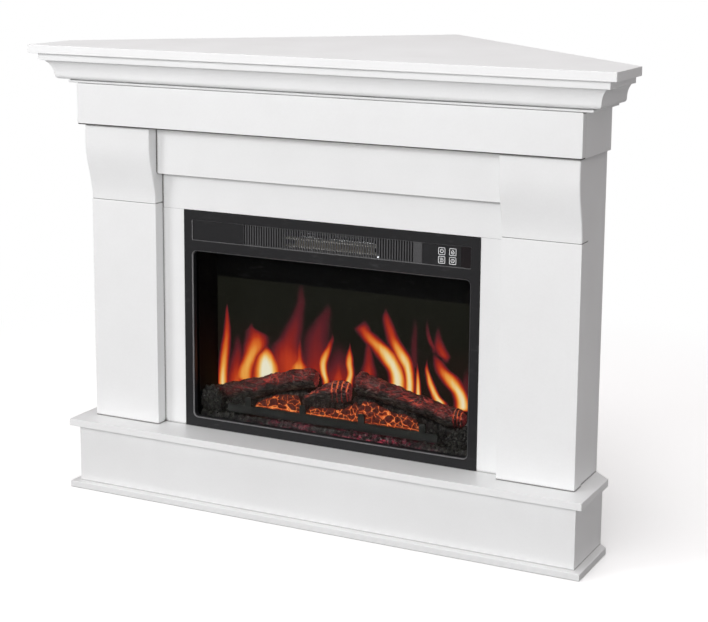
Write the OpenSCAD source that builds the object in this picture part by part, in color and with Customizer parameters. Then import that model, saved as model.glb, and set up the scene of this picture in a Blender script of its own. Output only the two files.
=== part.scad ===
// Corner fireplace: a white board mantel that fits a room's corner, with an
// electric log-effect insert. Millimetres, +Z up, front towards -Y, and the
// origin on the floor under the middle of the overall box.
// Inside the modules Y is counted back from the shelf's front edge: see from_front().

/* [Overall] */
// Width of the top shelf, the widest piece
overall_width = 1100; // [1080:1:1120]
// Height from the floor to the top of the shelf
overall_height = 833; // [828:1:838]
// Depth of the shelf's short square ends, before it turns along the walls
shelf_end_depth = 128; // [124:1:132]

/* [Top shelf and crown] */
// Thickness of the top shelf
shelf_thickness = 15; // [14:0.5:16]
// How far the shelf stands out from the upper box
shelf_reach = 68.8; // [66:0.1:70]
// How far the crown's flat fillet stands out from the upper box
fillet_reach = 55; // [52:0.5:58]
// Height of the crown's flat fillet
fillet_height = 13; // [12:0.5:14]
// Reach of the crown's hollow where it meets the fillet
cove_top_reach = 46; // [44:0.5:48]
// Reach of the crown's hollow above its rounded lower edge
cove_foot_reach = 35; // [34:0.5:36]
// Radius of the crown's rounded lower edge
crown_round = 8; // [6:0.5:9]
// Radius of the thin bead under the crown
bead_radius = 2.5; // [2:0.1:2.8]
// Reach of the thin bead
bead_reach = 17; // [16.5:0.1:18]
// Height of the bead's underside
bead_bottom = 763.5; // [760:0.5:766]
// Height of the flat underside of the crown's rounded lower edge
crown_underside = 771; // [769:0.5:773]

/* [Upper box] */
// Width of the upper box over its side boards
frieze_width = 962.4; // [950:0.1:970]
// Front of the applied frieze board
frieze_front_y = 51.7; // [50:0.1:54]
// Thickness of the applied frieze board
frieze_thickness = 15.5; // [15:0.1:16]
// Height of the upper box's underside
frieze_bottom = 688; // [684:1:692]
// Front of the header panel
header_front_y = 89; // [87:0.5:91]
// Height of the header panel's lower edge
header_bottom = 603; // [598:1:608]

/* [Columns and surround] */
// Outer width over both pilasters
pilaster_outer_width = 949.8; // [940:0.1:955]
// Clear width between the pilasters
pilaster_inner_width = 672; // [668:1:676]
// Front of the pilasters
pilaster_front_y = 84; // [82:0.5:86]
// Depth of the pilasters' folded sides
pilaster_depth = 33; // [30:1:36]
// Height of the joint between pilaster and corbel
corbel_bottom = 547.5; // [544:0.5:552]
// Front of the corbel where it bulges most
corbel_front_y = 64.5; // [62:0.5:67]
// Height at which the corbel bulges most
corbel_bulge_z = 655; // [645:1:665]
// Front of the corbel at its top
corbel_top_y = 66.2; // [65:0.1:68]
// Front of the surround boards beside and above the insert
surround_front_y = 108.3; // [107:0.1:110]
// Thickness of the mantel's boards
board = 16; // [15:0.5:18]
// Width over the two recessed side panels
side_panel_width = 944.6; // [938:0.1:948]

/* [Base] */
// Width of the base cap and of the floor board
base_cap_width = 1008; // [1000:1:1016]
// Front of the base cap and of the floor board
base_cap_front_y = 36.5; // [34:0.5:38]
// Thickness of the base cap
base_cap_thickness = 13; // [12:0.5:14]
// Height of the base cap's top
base_cap_top = 133; // [131:1:135]
// Width of the plinth
plinth_width = 979.4; // [970:0.1:985]
// Front of the plinth
plinth_front_y = 50.4; // [49:0.1:52]
// Thickness of the floor board
floor_board_thickness = 12; // [11:0.5:13]

/* [Insert] */
// Width of the insert's trim frame
insert_width = 581; // [579:1:582]
// Height of the insert's trim frame
insert_height = 404; // [402:1:405]
// Width of the trim frame's bars
trim_bar = 16; // [15:0.5:17]
// Depth of the trim frame
trim_depth = 12; // [11:0.5:13]
// Height of the window's upper edge
window_top = 465; // [463:1:467]
// Radius of the window's corners
window_corner = 10; // [8:1:12]
// Height of the control strip's lower edge
strip_bottom = 483; // [482:1:485]
// Height of the control strip's upper edge
strip_top = 521; // [519:1:522]
// Pitch of the louvre slots
louvre_pitch = 5; // [4.95:0.01:5.02]
// Width of one louvre slot
louvre_slot = 2.6; // [2.5:0.05:2.8]
// Depth of the insert's steel case, behind the glass
case_depth = 177; // [170:1:200]
// Width of a square push button
button_size = 13.4; // [13:0.1:13.6]
// Front of the flame screen
screen_y = 190; // [188:1:194]
// Height of the ember bed's top
bed_top = 162; // [160:0.5:163.5]

/* [Hidden] */
$fn = 48;

eps = 0.01;
overall_depth = overall_width / 2 + shelf_end_depth;
// Both walls lie on |x| + y = wall, and every layer of the mantel ends on them
wall = overall_depth;
shelf_underside = overall_height - shelf_thickness;

// The upper box's own faces, from which the crown's reach is counted
box_x = frieze_width / 2;
box_front_y = frieze_front_y + frieze_thickness;
rail_height = 80;
rail_hole_x = 260;
rail_hole_r = 2.5;

pilaster_x0 = pilaster_inner_width / 2;
pilaster_x1 = pilaster_outer_width / 2;
pilaster_back_y = pilaster_front_y + pilaster_depth;
side_panel_x = side_panel_width / 2;
joint_gap = 0.3;

insert_x = insert_width / 2;
insert_z0 = base_cap_top + 0.5;
insert_z1 = insert_z0 + insert_height;
surround_opening_x = insert_x + 0.5;
surround_opening_z = insert_z1 + 1;
trim_y0 = surround_front_y - 1.3;
trim_y1 = trim_y0 + trim_depth;
window_x = insert_x - trim_bar;
window_z0 = insert_z0 + trim_bar + 0.5;
window_lip = 2.5;
strip_x = insert_x - trim_bar - 0.5;

// Panels in the control strip: their front, and the flange that lies behind the frame
panel_y0 = trim_y0 + 2.5;
panel_fit = 0.3;
flange_y1 = trim_y1 + 2;
flange_reach = 4;
vent_x0 = -167;
vent_x1 = 167;
louvre_x1 = 183;
control_x1 = 255;
slot_margin = 1.5;
slot_count = 67;
slat_depth = 2.2;
led_x = 100;
led_r = 1.2;
led_z = strip_bottom + 3.5;
louvre_pocket_x = 95;

// Push buttons, two by two
button_x = [219.8, 240];
button_z = [508.9, 493.8];
button_travel = 1;
button_gap = 0.4;
button_stand = 0.8;
button_flange = 17;
panel_wall = 3;
stem_r = 2;
stem_end_y = trim_y1 - 1.2;
board_y0 = flange_y1 + 2;

glass_thickness = 4;
glass_y1 = trim_y1 + glass_thickness;
sheet = 1.2;
case_x = 281;
case_z0 = base_cap_top;
case_z1 = 534;
case_y0 = glass_y1;
case_y1 = case_y0 + case_depth;
case_in_x = case_x - sheet;
liner_x = 271;
ceiling_z = 470;
liner_y0 = case_y0 + 1;
mask_bottom = 403;

bed_y1 = screen_y - 2;
grate_stubs = [-173, -60, 58, 177];
grate_bar = 16;
grate_stub_height = 32;
grate_y = [133, 138];
bed_half = liner_x - 0.6;
bed_floor = case_z0 + sheet;

// Flame rotor
rotor_y = 222;
rotor_z = 172;
rotor_reach = 19;
spindle_r = 2;
spindle_end = 264;
bearing_gap = 0.05;
boss_x = 256;
blade_count = 22;
blade_step = 22;

// Blower: a long drum-shaped fan behind the heating element
fan_y = 200;
fan_z = 501.5;
fan_r = 22;
fan_half = 88;
fan_shaft_r = 3;
fan_blades = 18;
housing_x = 97;
scroll_r = 27.2;
duct_y0 = case_y0 + 2;
motor_x0 = 102;

gland_x = -220;
gland_z = 175;
gland_bore_r = 3.8;

bracket_z = [230, 430];
bracket_height = 34;
bracket_screw_x = 304;
screw_r = 2;
screw_head_r = 4;
screw_head = 2.4;
screw_length = 16;
base_screw_length = 40;
base_screw_sink = 0.3;
base_screws = [[-420, 58.4], [-140, 58.4], [140, 58.4], [420, 58.4], [-481.7, 120], [481.7, 120]];

white = "white";
black = [0.1, 0.1, 0.1];
steel = "silver";
char = [0.2, 0.12, 0.1];
glow = [0.9, 0.35, 0.1];

// ---- helpers ----
module from_front() translate([0, -overall_depth / 2, 0]) children();

// A plain board between two corners
module block(low, high) translate(low) cube(high - low);

// Points on an arc, as [across, up]
function arc(centre, r, a0, a1, n) =
    [for (i = [0:n]) let (a = a0 + (a1 - a0) * i / n) centre + r * [cos(a), sin(a)]];

// The outline of a layer that stands in the corner: square ends, then the two walls
module corner_plan(width, front_y)
    polygon([
        [-width / 2, front_y], [width / 2, front_y],
        [width / 2, wall - width / 2], [0, wall], [-width / 2, wall - width / 2]
    ]);

// A board on one side, from front_y back to the wall, cut to the wall's angle
module side_board(x0, x1, front_y, z0, z1)
    translate([0, 0, z0])
        linear_extrude(z1 - z0)
            polygon([[x0, front_y], [x1, front_y], [x1, wall - x1], [x0, wall - x0]]);

// A board that lies flat on the right wall, mitred at the corner's apex
module wall_rail(x0, z0, z1) {
    t = board / sqrt(2);
    translate([0, 0, z0])
        linear_extrude(z1 - z0)
            polygon([[x0, wall - x0], [0, wall], [0, wall - 2 * t], [x0 - t, wall - x0 - t]]);
}

// Extrudes a [y, z] outline along X
module along_x(x0, x1) translate([x0, 0, 0]) rotate([90, 0, 90]) linear_extrude(x1 - x0) children();

// A round bar along X or along Y
module rod_x(x0, x1, y, z, r) translate([x0, y, z]) rotate([0, 90, 0]) cylinder(h = x1 - x0, r = r);
module rod_y(y0, y1, x, z, r) translate([x, y0, z]) rotate([-90, 0, 0]) cylinder(h = y1 - y0, r = r);

module both_sides() {
    children();
    mirror([1, 0, 0]) children();
}

module left_side() mirror([1, 0, 0]) children();

// A slab with rounded corners in the XZ plane, made of true arcs
module round_window(x, z0, z1, r, y0, y1) {
    block([-x + r, y0, z0], [x - r, y1, z1]);
    block([-x, y0, z0 + r], [x, y1, z1 - r]);
    for (cx = [-x + r, x - r], cz = [z0 + r, z1 - r]) rod_y(y0, y1, cx, cz, r);
}

// ---- crown ----
// [reach from the upper box, height], from the bead up to the shelf
cove_height = shelf_underside - fillet_height - 2 - (crown_underside + crown_round);
cove_run = cove_top_reach - cove_foot_reach;
cove_r = (cove_run * cove_run + cove_height * cove_height) / (2 * cove_run);
cove_turn = asin(cove_height / cove_r);
crown_profile = concat(
    [[0, bead_bottom]],
    arc([bead_reach - bead_radius, bead_bottom + bead_radius], bead_radius, -90, 90, 8),
    [[bead_reach - bead_radius, crown_underside]],
    arc([cove_foot_reach - crown_round, crown_underside + crown_round], crown_round, -90, 0, 8),
    arc([cove_foot_reach + cove_r, crown_underside + crown_round], cove_r, 180, 180 - cove_turn, 8),
    [
        [cove_top_reach, shelf_underside - fillet_height],
        [fillet_reach, shelf_underside - fillet_height],
        [fillet_reach, shelf_underside],
        [0, shelf_underside]
    ]
);

module crown_front() color(white) from_front() {
    intersection() {
        along_x(-box_x - shelf_reach, box_x + shelf_reach)
            polygon([for (p = crown_profile) [box_front_y - p[0], p[1]]]);
        linear_extrude(overall_height)
            polygon([
                [-box_x - shelf_reach, box_front_y - shelf_reach],
                [box_x + shelf_reach, box_front_y - shelf_reach],
                [box_x, box_front_y], [-box_x, box_front_y]
            ]);
    }
}

module crown_return() color(white) from_front() {
    intersection() {
        translate([0, wall, 0])
            rotate([90, 0, 0])
                linear_extrude(wall)
                    polygon([for (p = crown_profile) [box_x + p[0], p[1]]]);
        linear_extrude(overall_height)
            polygon([
                [box_x, box_front_y],
                [box_x + shelf_reach, box_front_y - shelf_reach],
                [box_x + shelf_reach, wall - box_x - shelf_reach],
                [box_x, wall - box_x]
            ]);
    }
}
module crown_return_right() crown_return();
module crown_return_left() left_side() crown_return();

module top_shelf() color(white) from_front()
    translate([0, 0, shelf_underside])
        linear_extrude(shelf_thickness)
            corner_plan(overall_width, 0);

// ---- upper box ----
module frieze_front() color(white) from_front()
    block([-box_x, frieze_front_y, frieze_bottom], [box_x, box_front_y, bead_bottom]);

module frieze_beam() color(white) from_front()
    block(
        [-box_x + board, box_front_y, frieze_bottom],
        [box_x - board, surround_front_y, shelf_underside]
    );

module frieze_side() color(white) from_front()
    side_board(box_x - board, box_x, box_front_y, frieze_bottom, shelf_underside);
module frieze_side_right() frieze_side();
module frieze_side_left() left_side() frieze_side();

module header_panel() color(white) from_front()
    block(
        [-pilaster_x0 + joint_gap, header_front_y, header_bottom],
        [pilaster_x0 - joint_gap, surround_front_y, frieze_bottom]
    );

// ---- columns ----
module pilaster() color(white) from_front()
    difference() {
        block([pilaster_x0, pilaster_front_y, base_cap_top], [pilaster_x1, pilaster_back_y, corbel_bottom]);
        block(
            [pilaster_x0 + board, pilaster_front_y + board, base_cap_top - 1],
            [pilaster_x1 - board, pilaster_back_y + 1, corbel_bottom + 1]
        );
    }
module pilaster_right() pilaster();
module pilaster_left() left_side() pilaster();

// The corbel's front swells out of the pilaster in an S and eases back at the top
function corbel_y(z) =
    z < corbel_bulge_z
        ? pilaster_front_y + (corbel_front_y - pilaster_front_y)
            * (1 - cos(180 * (z - corbel_bottom) / (corbel_bulge_z - corbel_bottom))) / 2
        : corbel_front_y + (corbel_top_y - corbel_front_y)
            * pow((z - corbel_bulge_z) / (frieze_bottom - corbel_bulge_z), 2);
corbel_steps = 28;
corbel_outline = concat(
    [for (i = [0:corbel_steps])
        let (z = corbel_bottom + (frieze_bottom - corbel_bottom) * i / corbel_steps) [corbel_y(z), z]],
    [[pilaster_back_y, frieze_bottom], [pilaster_back_y, corbel_bottom]]
);

// The top front of the corbel is let in behind the applied frieze board
module corbel() color(white) from_front()
    along_x(pilaster_x0, pilaster_x1) polygon(corbel_outline);
module corbel_right() corbel();
module corbel_left() left_side() corbel();

module side_panel() color(white) from_front()
    side_board(side_panel_x - board, side_panel_x, pilaster_back_y, base_cap_top, frieze_bottom);
module side_panel_right() side_panel();
module side_panel_left() left_side() side_panel();

// ---- surround boards beside and above the insert ----
module surround_stile() color(white) from_front()
    difference() {
        block(
            [surround_opening_x, surround_front_y, base_cap_top],
            [pilaster_x0 - joint_gap, surround_front_y + board, surround_opening_z]
        );
        for (z = bracket_z)
            rod_y(
                surround_front_y + board + sheet - screw_length, surround_front_y + board + 1,
                bracket_screw_x, z, screw_r + bearing_gap
            );
    }
module surround_stile_right() surround_stile();
module surround_stile_left() left_side() surround_stile();

rail_top = frieze_bottom + 72;
module surround_top_rail() color(white) from_front()
    block(
        [-pilaster_x0 + joint_gap, surround_front_y, surround_opening_z],
        [pilaster_x0 - joint_gap, surround_front_y + board, rail_top]
    );

// ---- base ----
module base_cap() color(white) from_front()
    translate([0, 0, base_cap_top - base_cap_thickness])
        linear_extrude(base_cap_thickness)
            corner_plan(base_cap_width, base_cap_front_y);

plinth_top = base_cap_top - base_cap_thickness;
module screw_pilots()
    for (p = base_screws)
        translate([p[0], p[1], 0]) cylinder(h = base_screw_length + 2, r = screw_r + bearing_gap);

module plinth_front() color(white) from_front()
    difference() {
        block(
            [-plinth_width / 2, plinth_front_y, floor_board_thickness],
            [plinth_width / 2, plinth_front_y + board, plinth_top]
        );
        screw_pilots();
    }

module plinth_side() color(white) from_front()
    difference() {
        side_board(
            plinth_width / 2 - board, plinth_width / 2, plinth_front_y + board,
            floor_board_thickness, plinth_top
        );
        screw_pilots();
    }
module plinth_side_right() plinth_side();
module plinth_side_left() left_side() plinth_side();

module floor_board() color(white) from_front()
    difference() {
        linear_extrude(floor_board_thickness) corner_plan(base_cap_width, base_cap_front_y);
        for (p = base_screws)
            translate([p[0], p[1], -1]) {
                cylinder(h = floor_board_thickness + 2, r = screw_r + bearing_gap);
                cylinder(h = 1 + base_screw_sink + screw_head, r = screw_head_r + 0.3);
            }
    }

// ---- rails on the two walls, and the post in the corner ----
module shelf_rail() color(white) from_front()
    difference() {
        wall_rail(box_x - board, shelf_underside - rail_height, shelf_underside);
        translate([rail_hole_x, wall - rail_hole_x, shelf_underside - rail_height / 2])
            rotate([0, 90, 45])
                translate([0, 0, -board - 5])
                    cylinder(h = board + 10, r = rail_hole_r);
    }
module shelf_rail_right() shelf_rail();
module shelf_rail_left() left_side() shelf_rail();

// One length below the base cap and one above it
post_size = 40;
module rear_post() color("burlywood") from_front()
    for (z = [[floor_board_thickness, plinth_top], [base_cap_top, shelf_underside]])
        translate([0, wall - 2 * board / sqrt(2), z[0]])
            rotate([0, 0, 225])
                cube([post_size, post_size, z[1] - z[0]]);

// ---- screws ----
// Points along +Z from the outside of its head
screw_point = 3;
module wood_screw(length) {
    cylinder(h = screw_head, r = screw_head_r);
    cylinder(h = length - screw_point, r = screw_r);
    translate([0, 0, length - screw_point]) cylinder(h = screw_point, r1 = screw_r, r2 = 0.4);
}

module wood_screws() color(steel) from_front() {
    for (p = base_screws) translate([p[0], p[1], base_screw_sink]) wood_screw(base_screw_length);
    both_sides()
        for (z = bracket_z)
            translate([bracket_screw_x, surround_front_y + board + sheet + screw_head, z])
                rotate([90, 0, 0])
                    wood_screw(screw_length);
}

// ---- insert: front ----
module trim_frame() color(black) from_front()
    difference() {
        block([-insert_x, trim_y0, insert_z0], [insert_x, trim_y1, insert_z1]);
        round_window(window_x, window_z0, window_top, window_corner, trim_y0 - 1, trim_y0 + window_lip);
        round_window(
            window_x - window_lip, window_z0 + window_lip, window_top - window_lip,
            window_corner - window_lip, trim_y0, trim_y1 + 1
        );
        block([-strip_x, trim_y0 - 1, strip_bottom], [strip_x, trim_y1 + 1, strip_top]);
    }

// A panel that fills part of the control strip, with a flange behind the frame
module strip_panel(x0, x1) {
    block([x0, panel_y0, strip_bottom + panel_fit], [x1, trim_y1, strip_top - panel_fit]);
    block([x0, trim_y1, strip_bottom - flange_reach], [x1, flange_y1, strip_top + flange_reach]);
}

// Thin slats in front of the heater, with a pocket behind them; beside it the slots are blind grooves
blind_depth = 6;
module louvre_panel() color(black) from_front()
    difference() {
        strip_panel(vent_x0, louvre_x1);
        for (i = [0:slot_count - 1])
            let (x = (i - (slot_count - 1) / 2) * louvre_pitch, open = abs(x - led_x) < 1)
                block(
                    [x - louvre_slot / 2, panel_y0 - 1, strip_bottom + slot_margin],
                    [x + louvre_slot / 2, open ? flange_y1 + 1 : panel_y0 + blind_depth, strip_top - slot_margin]
                );
        block(
            [-louvre_pocket_x, panel_y0 + slat_depth, strip_bottom + slot_margin],
            [louvre_pocket_x, flange_y1 + 1, strip_top - slot_margin]
        );
    }

module blank_panel() color(black) from_front()
    strip_panel(-strip_x + panel_fit, vent_x0 - panel_fit);

module control_panel() color(black) from_front()
    difference() {
        strip_panel(louvre_x1 + panel_fit, control_x1);
        block(
            [louvre_x1 + panel_wall, panel_y0 + panel_wall, strip_bottom + panel_wall],
            [control_x1 - panel_wall, flange_y1 + 1, strip_top - panel_wall]
        );
        for (x = button_x, z = button_z)
            block(
                [x - button_size / 2 - button_gap, panel_y0 - 1, z - button_size / 2 - button_gap],
                [x + button_size / 2 + button_gap, panel_y0 + panel_wall + 1, z + button_size / 2 + button_gap]
            );
    }

module receiver_window() color([0.15, 0.03, 0.05]) from_front()
    strip_panel(control_x1 + panel_fit, strip_x - panel_fit);

module push_button(x, z) color(black) from_front() {
    block(
        [x - button_size / 2, panel_y0 - button_stand, z - button_size / 2],
        [x + button_size / 2, panel_y0 + panel_wall + joint_gap, z + button_size / 2]
    );
    block(
        [x - button_flange / 2, panel_y0 + panel_wall + joint_gap, z - button_size / 2],
        [x + button_flange / 2, panel_y0 + panel_wall + joint_gap + 1.5, z + button_size / 2]
    );
    rod_y(panel_y0 + panel_wall + joint_gap, stem_end_y, x, z, stem_r);
}
module button_power() push_button(button_x[0], button_z[0]);
module button_flame() push_button(button_x[1], button_z[0]);
module button_heater() push_button(button_x[0], button_z[1]);
module button_timer() push_button(button_x[1], button_z[1]);

// The circuit board behind the buttons: four small switches, on two rows of posts
switch_size = 6;
module control_board() color("darkgreen") from_front() {
    block([louvre_x1 + 1, board_y0, strip_bottom - 2], [control_x1 - 1, board_y0 + 1.6, strip_top + 2]);
    for (x = button_x, z = button_z) {
        block(
            [x - switch_size / 2, flange_y1 - 1, z - switch_size / 2],
            [x + switch_size / 2, board_y0, z + switch_size / 2]
        );
        rod_y(trim_y1 + button_travel - 0.9, flange_y1 - 1, x, z, 1.7);
    }
    for (x = [louvre_x1 + 2, control_x1 - 2.5], z = [strip_bottom, strip_top])
        rod_y(flange_y1, board_y0, x, z, 0.9);
}

module status_led() color([0.95, 0.97, 1]) from_front() {
    rod_y(panel_y0 + 0.5, flange_y1, led_x, led_z, led_r);
    block([led_x - 4, flange_y1, led_z - 3], [led_x + 4, flange_y1 + 1.6, led_z + 4]);
}

module front_glass() color([0.8, 0.85, 0.9, 0.25]) from_front()
    block([-insert_x + 6, trim_y1, insert_z0 + 8], [insert_x - 6, glass_y1, strip_bottom - flange_reach - 1]);

// ---- insert: steel case ----
module chassis_wrap() color(black) from_front()
    difference() {
        block([-case_x, case_y0, case_z0], [case_x, case_y1, case_z1 - sheet]);
        block([-case_in_x, case_y0 - 1, case_z0 + sheet], [case_in_x, case_y1 + 1, case_z1]);
    }

vent_slots = 17;
vent_pitch = 20;
module vent_row(centre_x)
    for (i = [0:vent_slots - 1]) translate([centre_x + (i - (vent_slots - 1) / 2) * vent_pitch, 0, 0]) children();

module chassis_top() color(black) from_front()
    difference() {
        block([-case_x, case_y0, case_z1 - sheet], [case_x, case_y1, case_z1]);
        vent_row(0) block([-3, 225, case_z1 - sheet - 1], [3, 275, case_z1 + 1]);
    }

module rear_cover() color(black) from_front()
    difference() {
        block([-case_x, case_y1, case_z0], [case_x, case_y1 + sheet, case_z1]);
        vent_row(0) block([-3, case_y1 - 1, 480], [3, case_y1 + sheet + 1, 520]);
        rod_y(case_y1 - 1, case_y1 + sheet + 1, gland_x, gland_z, 7);
    }

// Inner sides and ceiling of the fire chamber, with a folded mask above the screen
module firebox_liner() color(black) from_front() {
    both_sides() block([liner_x, liner_y0, bed_floor], [liner_x + sheet, screen_y + 10, ceiling_z]);
    block([-case_in_x, liner_y0, ceiling_z], [case_in_x, case_y1, ceiling_z + sheet]);
    block([-liner_x, screen_y - sheet - 0.4, mask_bottom], [liner_x, screen_y - 0.4, ceiling_z]);
}

module flame_screen() color([0.3, 0.1, 0.05]) from_front()
    block([-liner_x + 0.5, screen_y, bed_floor], [liner_x - 0.5, screen_y + 3, ceiling_z - 4]);

// ---- log set ----
// A rough lump: rings along X at each [x, y, z, height radius, depth radius], ridged like bark
lump_sides = 16;
function bark(i, a, seed) =
    1 + 0.05 * sin(5 * a + 50 * i + seed) + 0.04 * sin(3 * a - 80 * i + 2 * seed) + 0.02 * sin(9 * a + 130 * i);
module lump(rings, seed) {
    n = lump_sides;
    last = len(rings) - 1;
    polyhedron(
        points = [for (i = [0:last], j = [0:n - 1])
            let (c = rings[i], a = 360 * j / n, k = bark(i, a, seed))
            [c[0], c[1] + c[4] * k * cos(a), c[2] + c[3] * k * sin(a)]],
        faces = concat(
            [[for (j = [0:n - 1]) j]],
            [[for (j = [n - 1:-1:0]) last * n + j]],
            [for (i = [0:last - 1], j = [0:n - 1])
                let (k = (j + 1) % n) [i * n + j, (i + 1) * n + j, (i + 1) * n + k]],
            [for (i = [0:last - 1], j = [0:n - 1])
                let (k = (j + 1) % n) [i * n + j, (i + 1) * n + k, i * n + k]]
        ),
        convexity = 4
    );
}

// Keeps the part of a lump that stands above the bed
module on_bed(x0, x1) intersection() {
    children();
    block([x0, log_y0, bed_top], [x1, log_y1, bed_top + 120]);
}

ember_y0 = 138.4;
ember_y1 = 150.6;
log_y0 = 151;
log_y1 = screen_y - 2;
log_y = (log_y0 + log_y1) / 2;

module log_left() color(char) from_front()
    on_bed(-270, -48)
        lump([
            [-268, log_y, 174.5, 17, 13], [-258, log_y, 176.5, 21.6, 15.4], [-220, log_y, 187.5, 20.2, 16],
            [-180, log_y, 201.5, 18.4, 16], [-127, log_y, 219.5, 17.1, 15.4], [-90, log_y, 230.5, 18.4, 15.8],
            [-62, log_y, 235.5, 18.4, 15.4], [-50, log_y, 235.5, 14, 11.5]
        ], 20);

module log_right() color(char) from_front()
    on_bed(30, 244)
        lump([
            [31, log_y, 238.5, 15, 12], [42, log_y, 239.5, 21.6, 15.4], [70, log_y, 234.5, 19.8, 16],
            [99, log_y, 228.5, 18, 16], [156, log_y, 215.5, 16.2, 15.4], [216, log_y, 202.5, 16.6, 15],
            [234, log_y, 200.5, 15.8, 13.5], [242, log_y, 199.5, 11.5, 10]
        ], 75);

module log_centre() color(char) from_front()
    lump([
        [-58, 144.6, 210.5, 9.6, 4.6], [-50, 144.6, 214.5, 13.6, 5.2], [-44, 144.8, 217.5, 16, 5.4],
        [-37, 151, 220.5, 18, 11.5], [-20, 152, 222.5, 19.4, 12], [-4, 152, 223.5, 20, 12],
        [10, 152, 224.5, 20, 12], [21, 151.4, 224.5, 18.4, 11.4], [27, 151, 224.5, 15, 9]
    ], 140);

// A lump kept inside its own strip and above its foot; tops is a list of [x, height]
module chunk(tops, y0, y1, seed, foot = bed_top) {
    last = len(tops) - 1;
    intersection() {
        lump([for (t = tops)
            let (h = t[1] - bed_top) [t[0], (y0 + y1) / 2, bed_top + 0.4 * h, 0.54 * h, (y1 - y0) / 2]], seed);
        block([tops[0][0] - 1, y0, foot], [tops[last][0] + 1, y1, bed_top + 80]);
    }
}

// Glowing chunks in a row between the grate and the logs
module embers() color(glow) from_front() {
    chunk([[-167, 176], [-155, 185], [-136, 195], [-116, 204], [-92, 208], [-76, 208], [-66, 191]],
        ember_y0, ember_y1, 10);
    chunk([[-54, 183], [-46, 190], [-20, 192], [2, 193], [20, 196], [38, 198], [47, 190]],
        ember_y0, ember_y1, 55);
    chunk([[51, 207], [60, 216], [76, 217], [98, 208], [119, 202], [137, 203], [158, 197], [168, 183]],
        ember_y0, ember_y1, 95);
}

// The moulded bed: a sloping, hollow tray, a mound under the logs, and rocks at both ends
bed_y0 = liner_y0 + 0.5;
bed_plate = 4;
bed_lip_z = 149;
rock_foot = bed_top - 8;
bed_skirt = 5;
bed_front = [[bed_y0, bed_floor], [bed_y0, bed_lip_z], [grate_y[0] - 1.5, bed_top], [bed_y1, bed_top], [bed_y1, bed_floor]];
// Top edge of the mound that carries the logs, as [x, z]
mound_depth = 23;
mound_line = [
    [-235, bed_top], [-220, 164], [-180, 180], [-127, 199.5], [-90, 209], [-66, 213.5],
    [-64, 197.5], [29, 197.5], [31, 213.5], [42, 214.5], [70, 211.5], [99, 207.5], [156, 196.5],
    [216, 183], [234, 182], [243, bed_top]
];
module ember_bed() color([0.16, 0.15, 0.15]) from_front() {
    difference() {
        along_x(-bed_half, bed_half) polygon(bed_front);
        block(
            [-bed_half + bed_skirt, bed_y0 + bed_skirt, bed_floor - 1],
            [bed_half - bed_skirt, bed_y1 - bed_skirt, bed_lip_z - bed_plate]
        );
    }
    translate([0, log_y1, 0])
        rotate([90, 0, 0])
            linear_extrude(mound_depth)
                polygon(mound_line);
    chunk([[-269, 196], [-263, 206], [-250, 207], [-240, 203], [-229, 186]], 127, 150, 30, rock_foot);
    chunk([[-226, 176], [-214, 182], [-202, 186], [-188, 183], [-176, 172]], ember_y0, 150, 60, rock_foot);
    chunk([[175, 173], [186, 184], [200, 184], [212, 180], [219, 174]], ember_y0, 150, 110, rock_foot);
    chunk([[221, 174], [232, 184], [248, 196], [260, 198], [269, 190]], 127, 150, 170, rock_foot);
    chunk([[246, 196], [250, 206], [260, 209], [269, 203]], 152, 184, 230, rock_foot);
}

// Fire-grate bar with its upright stubs, standing on the bed
module grate() color(black) from_front() {
    block([-216, grate_y[0], bed_top], [207, grate_y[1], bed_top + grate_bar]);
    for (x = grate_stubs)
        block([x - 6, grate_y[0], bed_top], [x + 6, grate_y[1], bed_top + grate_stub_height]);
}

// Amber lamps on a strip under the bed
led_count = 12;
module led_board() color("ivory") from_front() {
    block([-245, 145, bed_floor + 2], [245, 165, bed_floor + 3.6]);
    for (i = [0:led_count - 1])
        translate([(i - (led_count - 1) / 2) * 40, 155, bed_floor + 3.6])
            cylinder(h = 3, r = 2.5);
    for (x = [-230, 230]) translate([x, 155, bed_floor]) cylinder(h = 2, r = 3);
}

// ---- flame rotor ----
module flame_rotor() color(steel) from_front() {
    rod_x(-spindle_end, spindle_end, rotor_y, rotor_z, spindle_r);
    for (i = [0:blade_count - 1])
        translate([(i - (blade_count - 1) / 2) * blade_step, rotor_y, rotor_z])
            rotate([i * 75, 0, 0])
                rotate([0, 0, 12])
                    block([-7, -0.4, 1], [7, 0.4, rotor_reach]);
}

module rotor_motor() color("dimgray") from_front()
    difference() {
        union() {
            rod_x(boss_x + 6, case_in_x, rotor_y, rotor_z, 18);
            rod_x(boss_x, boss_x + 6, rotor_y, rotor_z, 6);
        }
        rod_x(boss_x - 1, spindle_end + 2, rotor_y, rotor_z, spindle_r + bearing_gap);
    }

module rotor_bush() color("dimgray") from_front()
    difference() {
        union() {
            rod_x(-case_in_x, -case_in_x + 3, rotor_y, rotor_z, 14);
            rod_x(-case_in_x + 3, -boss_x, rotor_y, rotor_z, 7);
        }
        rod_x(-spindle_end - 2, -boss_x + 1, rotor_y, rotor_z, spindle_r + bearing_gap);
    }

// ---- heater ----
module blower_wheel() color(steel) from_front() {
    rod_x(-housing_x - 5, motor_x0 + 22, fan_y, fan_z, fan_shaft_r);
    for (x = [-fan_half, -30, 29, fan_half - 1.2])
        rod_x(x, x + 1.2, fan_y, fan_z, fan_r);
    for (i = [0:fan_blades - 1])
        translate([0, fan_y, fan_z])
            rotate([i * 360 / fan_blades, 0, 0])
                translate([0, 0, fan_r - 3])
                    rotate([35, 0, 0])
                        block([-fan_half + 0.6, -2, -0.4], [fan_half - 0.6, 2, 0.4]);
}

module blower_housing() color("gainsboro") {
    blower_shell();
    blower_feet();
}

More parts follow.
